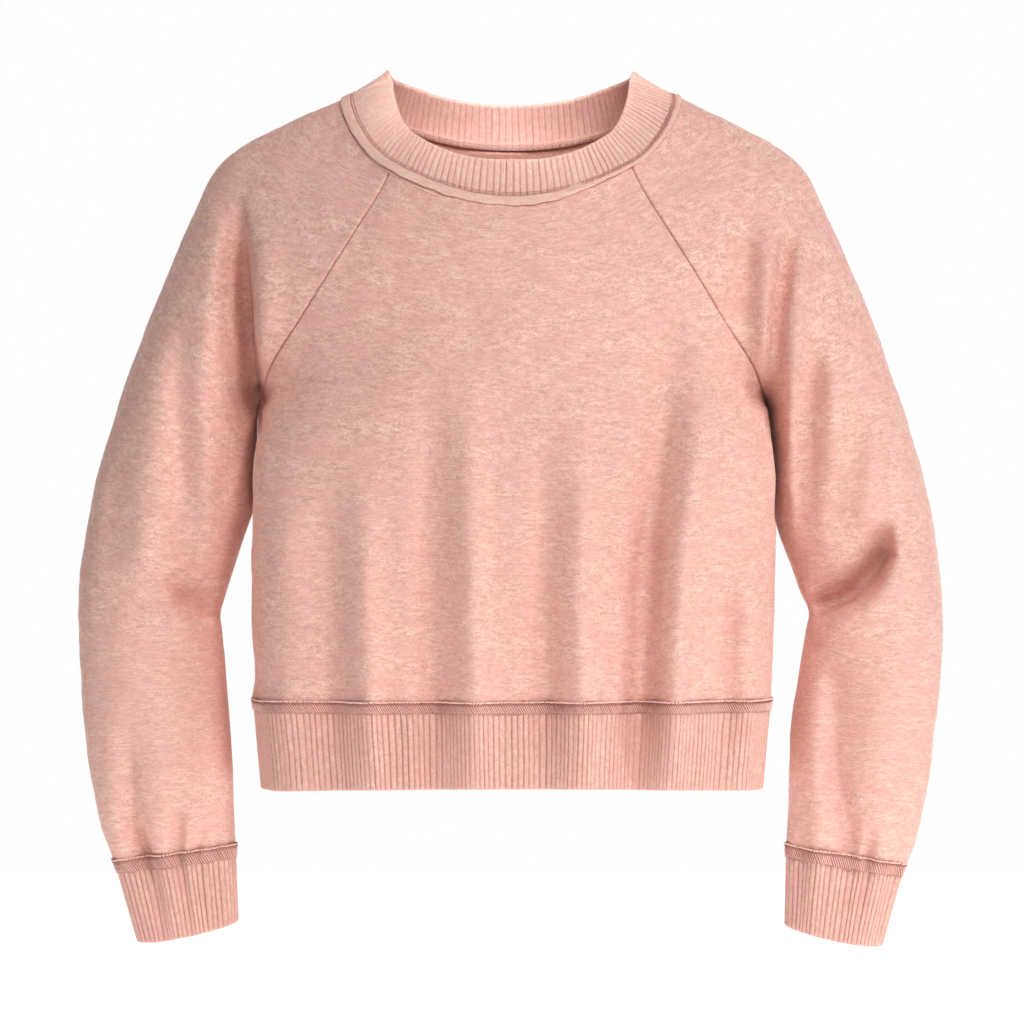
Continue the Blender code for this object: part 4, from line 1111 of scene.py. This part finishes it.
def plain_band(length):
    """Stations of a band with a rounded lower fold and a plain inside."""
    half = BAND_WALL / 2 / length
    outer = [(share, 0, strength, 0) for share, strength in (
        (0.004, 0.3), (0.04, 0.5), (0.09, 0.8), (0.16, 1), (0.28, 1), (0.42, 1), (0.56, 1), (0.70, 1),
        (0.83, 1), (0.92, 0.95), (0.96, 0.85))]
    fold = [(1 - half + half * math.sin(a), -0.5 + 0.5 * math.cos(a), 0.7 - 0.2 * a, 0)
            for a in np.linspace(0, math.pi, 7)]
    inner = [(share, -1, 0, 0) for share in (0.9, 0.6, 0.3, 0.004)]
    return outer + fold + inner


def sew_neck(made, neck):
    """The neck allowance and its sewing: flat with a topstitch on the left, overlocked on the right."""
    def to_right(t):
        """0 where the neck allowance lies flat, from the left shoulder to the middle front, else 1."""
        point = neck.read(neck.points, t)
        return np.maximum(fade(point[:, 0], *NECK_CHANGE), fade(point[:, 1], 30, 20))

    def strip(t):
        right = to_right(t)
        return -4.8 + 3.5 * right, 2.7 + 3.7 * right, 1.4 + 0.2 * right, -0.1 + 0 * t, right

    def under(t):
        """The second raw edge, which shows most beside the left raglan seam."""
        right = to_right(t)
        shows = np.exp(-((neck.read(neck.points, t)[:, 0] + 66) / 26)**2) * (1 - right)
        return -5.6 + 5.1 * right - 1.8 * shows, 0.5 + 0 * t, 0.9 + 0 * t, -1.7 + 0.8 * right, 0 * t

    made["neck_allowance"] = allowance("neck_allowance_cloth", neck, (strip, under), EDGE,
                                       "neck_seam_allowance", seed=51, ruffle=0.3)
    # The overlock threads of the right neck are coloured dark: painted shade.
    made["neck_overlock"] = sewing("neck_overlock_threads", neck, 0.34, SHADED_THREAD, Stitch(
        pitch=1.15, part=(0.205, 0.83), places=np.linspace(-1.3, 1.3, 6), reach=np.linspace(1.3, 6.0, 6),
        lift=(0.45, 0.5, 0.5, 0.5, 0.45, 0.3), seed=81, uneven=0.2))
    made["neck_chain"] = sewing(
        "neck_chain_stitch", neck, 0.45, THREAD,
        Stitch(pitch=2.2, part=CHAIN_PART, places=(-0.9, -0.4, 0.4, 0.9), reach=(0.1, 0.3, 0.3, 0.1),
               lift=(0.9, 1.4, 1.4, 0.9), seed=82),
        Stitch(pitch=2.2, part=CHAIN_PART, places=(0.1, 0.6, 1.4, 1.9), reach=(-1.2, -1.0, -1.0, -1.2),
               lift=(0.7, 1.2, 1.2, 0.7), seed=87))
    # The topstitch rows are dark threads: painted shade of the furrows they sink into.
    made["neck_topstitch"] = sewing("neck_topstitching", neck, 0.27, SHADED_THREAD, *[
        Stitch(pitch=1.9, part=(-0.17, 0.2), places=(-0.8, -0.3, 0.3, 0.8), reach=(reach,) * 4,
               lift=(low, high, high, low), seed=seed, uneven=0.05)
        for reach, low, high, seed in ((3.6, 0.5, 0.8, 83), (5.6, 0.8, 1.1, 84))])
    ends = -NECK_WALL - 0.1
    made["neck_inside"] = sewing("inner_neck_stitching", neck, 0.36, THREAD, *[
        Stitch(pitch=1.7, part=(0, 1), places=(-way * 1.2, -way * 0.4, way * 0.4, way * 1.2),
               reach=(0.6, 2.8, 5.0, 7.0), lift=(ends, middle, middle, ends), seed=seed)
        for way, middle, seed in ((1, -NECK_WALL - 0.4, 85), (-1, -NECK_WALL - 0.5, 86))])


def sew_ring(made, label, seam, seed, ruffle, upper, lower, inset, short):
    """The allowance round the hem or a cuff, from upper on the panel to lower on the band, and its sewing.

    The chain stitch lies inset from its upper edge, and the overlock threads end short of its lower edge.
    """
    def strip(t):
        return [np.full_like(t, value) for value in (upper, lower, 1.0, -0.2, 0.8)]

    # its dark cloth is painted shade between the overlock threads
    made[label + "_allowance"] = allowance(label + "_allowance_cloth", seam, (strip,), SHADED_OVERLOCK_GROUND,
                                           label + "_seam_allowance", seed, ruffle)
    first, last, top = upper + inset, lower - short, RING_TOP
    made[label + "_chain"] = sewing(label + "_chain_stitch", seam, 0.75, THREAD, Stitch(
        pitch=2.1, part=(0, 1), places=(-0.85, -0.4, 0.4, 0.85),
        reach=(first + 0.1, first, first, first + 0.1), lift=(top - 0.4, top + 0.2, top + 0.2, top - 0.4),
        seed=71))
    # dark beads beside the chain stitch: painted shade of the needle holes
    made[label + "_holes"] = sewing(label + "_hole_shade_beads", seam, 0.5, HOLE_SHADE, Stitch(
        pitch=2.1, part=(0, 1), places=(0.70, 0.90, 1.20, 1.40), reach=(first + 1.4,) * 4,
        lift=(top, top + 0.15, top + 0.15, top), seed=71))
    made[label + "_overlock"] = sewing(label + "_overlock_threads", seam, 0.36, OVERLOCK_THREAD, Stitch(
        pitch=1.9, part=(0, 1), places=np.linspace(-2.0, 2.0, 6), reach=np.linspace(first + 2.3, last, 6),
        lift=(top - 0.2, top - 0.1, top - 0.2, top - 0.3, top - 0.35, top - 0.6), seed=72, uneven=0.08))


# ==================================================================== stage, light and camera
FLOOR_Z = -0.75
ROOM_LIGHT = 0.03
PRINT_GAMMA = 0.82          # the photograph is printed with some contrast
# Soft lamps round the garment: name, degrees round to the right from the viewer's side, degrees up, watts
LIGHTS = (
    ("key_light", 26, 33, 54),
    ("high_key_light", 26, 60, 28),
    ("side_light", 60, 33, 33),
    ("low_side_light", 85, 5, 10),
    ("front_light", 0, 33, 18),
    ("left_light", -70, 38, 19),
    ("back_light_right", 150, 30, 50),
    ("back_light_left", -150, 30, 40),
)
LIGHT_AIM = np.array((0.0, 0.0, -0.3))
LIGHT_DISTANCE = 4.0
LIGHT_SIZE = 0.9
# A narrow lamp that looks over the front of the neckband, to the inside of its back. cone: in degrees
NECK_LAMP = {"place": (0.0, -1.57, 1.13), "aim": (0.0, 0.07, -0.022), "cone": 6.0, "power": 112}
FLOOR_CLEAR, FLOOR_END = 0.9, 2.6      # where the floor begins to fade, and where it ends
CAMERA_PLACE, CAMERA_LENS = (0.0, -4.0, -0.31125), 187.5


def make_stage():
    """A pale round floor that fades into the white room."""
    mesh = bpy.data.meshes.new("studio_floor")
    corners = [(x * FLOOR_END, y * FLOOR_END, FLOOR_Z) for x, y in ((-1, -1), (1, -1), (1, 1), (-1, 1))]
    mesh.from_pydata(corners, [], [(0, 1, 2, 3)])
    material = bpy.data.materials.new("pale_floor")
    material.use_nodes = True
    tree = material.node_tree
    shader = tree.nodes["Principled BSDF"]
    shader.inputs["Base Color"].default_value = (0.95, 0.95, 0.95, 1.0)
    shader.inputs["Roughness"].default_value = 0.95
    shader.inputs["Specular IOR Level"].default_value = 0.0
    shader.inputs["Emission Color"].default_value = (1.0, 1.0, 1.0, 1.0)
    shader.inputs["Emission Strength"].default_value = 0.75
    place = add_node(tree, "ShaderNodeTexCoord").outputs["Object"]
    away = add_node(tree, "ShaderNodeVectorMath", {0: place, 1: (1, 1, 0)}, operation="MULTIPLY").outputs[0]
    distance = add_node(tree, "ShaderNodeVectorMath", {0: away}, operation="LENGTH").outputs["Value"]
    tree.links.new(ranged(tree, distance, FLOOR_CLEAR, FLOOR_END, 1.0, 0.0), shader.inputs["Alpha"])
    mesh.materials.append(material)
    floor = bpy.data.objects.new("studio_floor", mesh)
    bpy.context.scene.collection.objects.link(floor)


def hang_lamp(name, kind, place, aim, power, **settings):
    """A lamp that the camera doesn't see, turned to look at its aim."""
    data = bpy.data.lights.new(name, kind)
    data.energy = power
    for title, value in settings.items():
        setattr(data, title, value)
    lamp = bpy.data.objects.new(name, data)
    bpy.context.scene.collection.objects.link(lamp)
    way = np.array(aim) - np.array(place)
    lamp.location = place
    lamp.rotation_euler = (math.acos(-way[2] / np.linalg.norm(way)), 0, math.atan2(-way[0], way[1]))
    lamp.visible_camera = False


def make_lights():
    """A white room, seen by the camera and dim on the cloth, and the lamps."""
    world = bpy.data.worlds.new("soft_room")
    world.use_nodes = True
    tree = world.node_tree
    room = tree.nodes["Background"]
    room.inputs["Color"].default_value = (1.0, 1.0, 1.0, 1.0)
    seen = add_node(tree, "ShaderNodeLightPath").outputs["Is Camera Ray"]
    tree.links.new(ranged(tree, seen, 0.0, 1.0, ROOM_LIGHT, 1.0), room.inputs["Strength"])
    bpy.context.scene.world = world
    bpy.context.scene.view_settings.view_transform = "Standard"
    bpy.context.scene.view_settings.gamma = PRINT_GAMMA
    for name, around, up, power in LIGHTS:
        around, up = math.radians(around), math.radians(up)
        place = LIGHT_AIM + LIGHT_DISTANCE * np.array((
            math.sin(around) * math.cos(up), -math.cos(around) * math.cos(up), math.sin(up)))
        hang_lamp(name, "AREA", place, LIGHT_AIM, power, shape="DISK", size=LIGHT_SIZE)
    hang_lamp("neck_lamp", "SPOT", NECK_LAMP["place"], NECK_LAMP["aim"], NECK_LAMP["power"],
              spot_size=math.radians(NECK_LAMP["cone"]), spot_blend=0.5, shadow_soft_size=0.05)


def make_camera():
    """Straight from the front, as far away as the photograph was taken."""
    data = bpy.data.cameras.new("camera")
    data.sensor_width = 36.0
    data.lens = CAMERA_LENS
    data.clip_end = 50.0
    camera = bpy.data.objects.new("camera", data)
    camera.location = CAMERA_PLACE
    camera.rotation_euler = (math.pi / 2, 0.0, 0.0)
    bpy.context.scene.collection.objects.link(camera)
    bpy.context.scene.camera = camera


make_camera()
garment = build_garment()
make_stage()
make_lights()
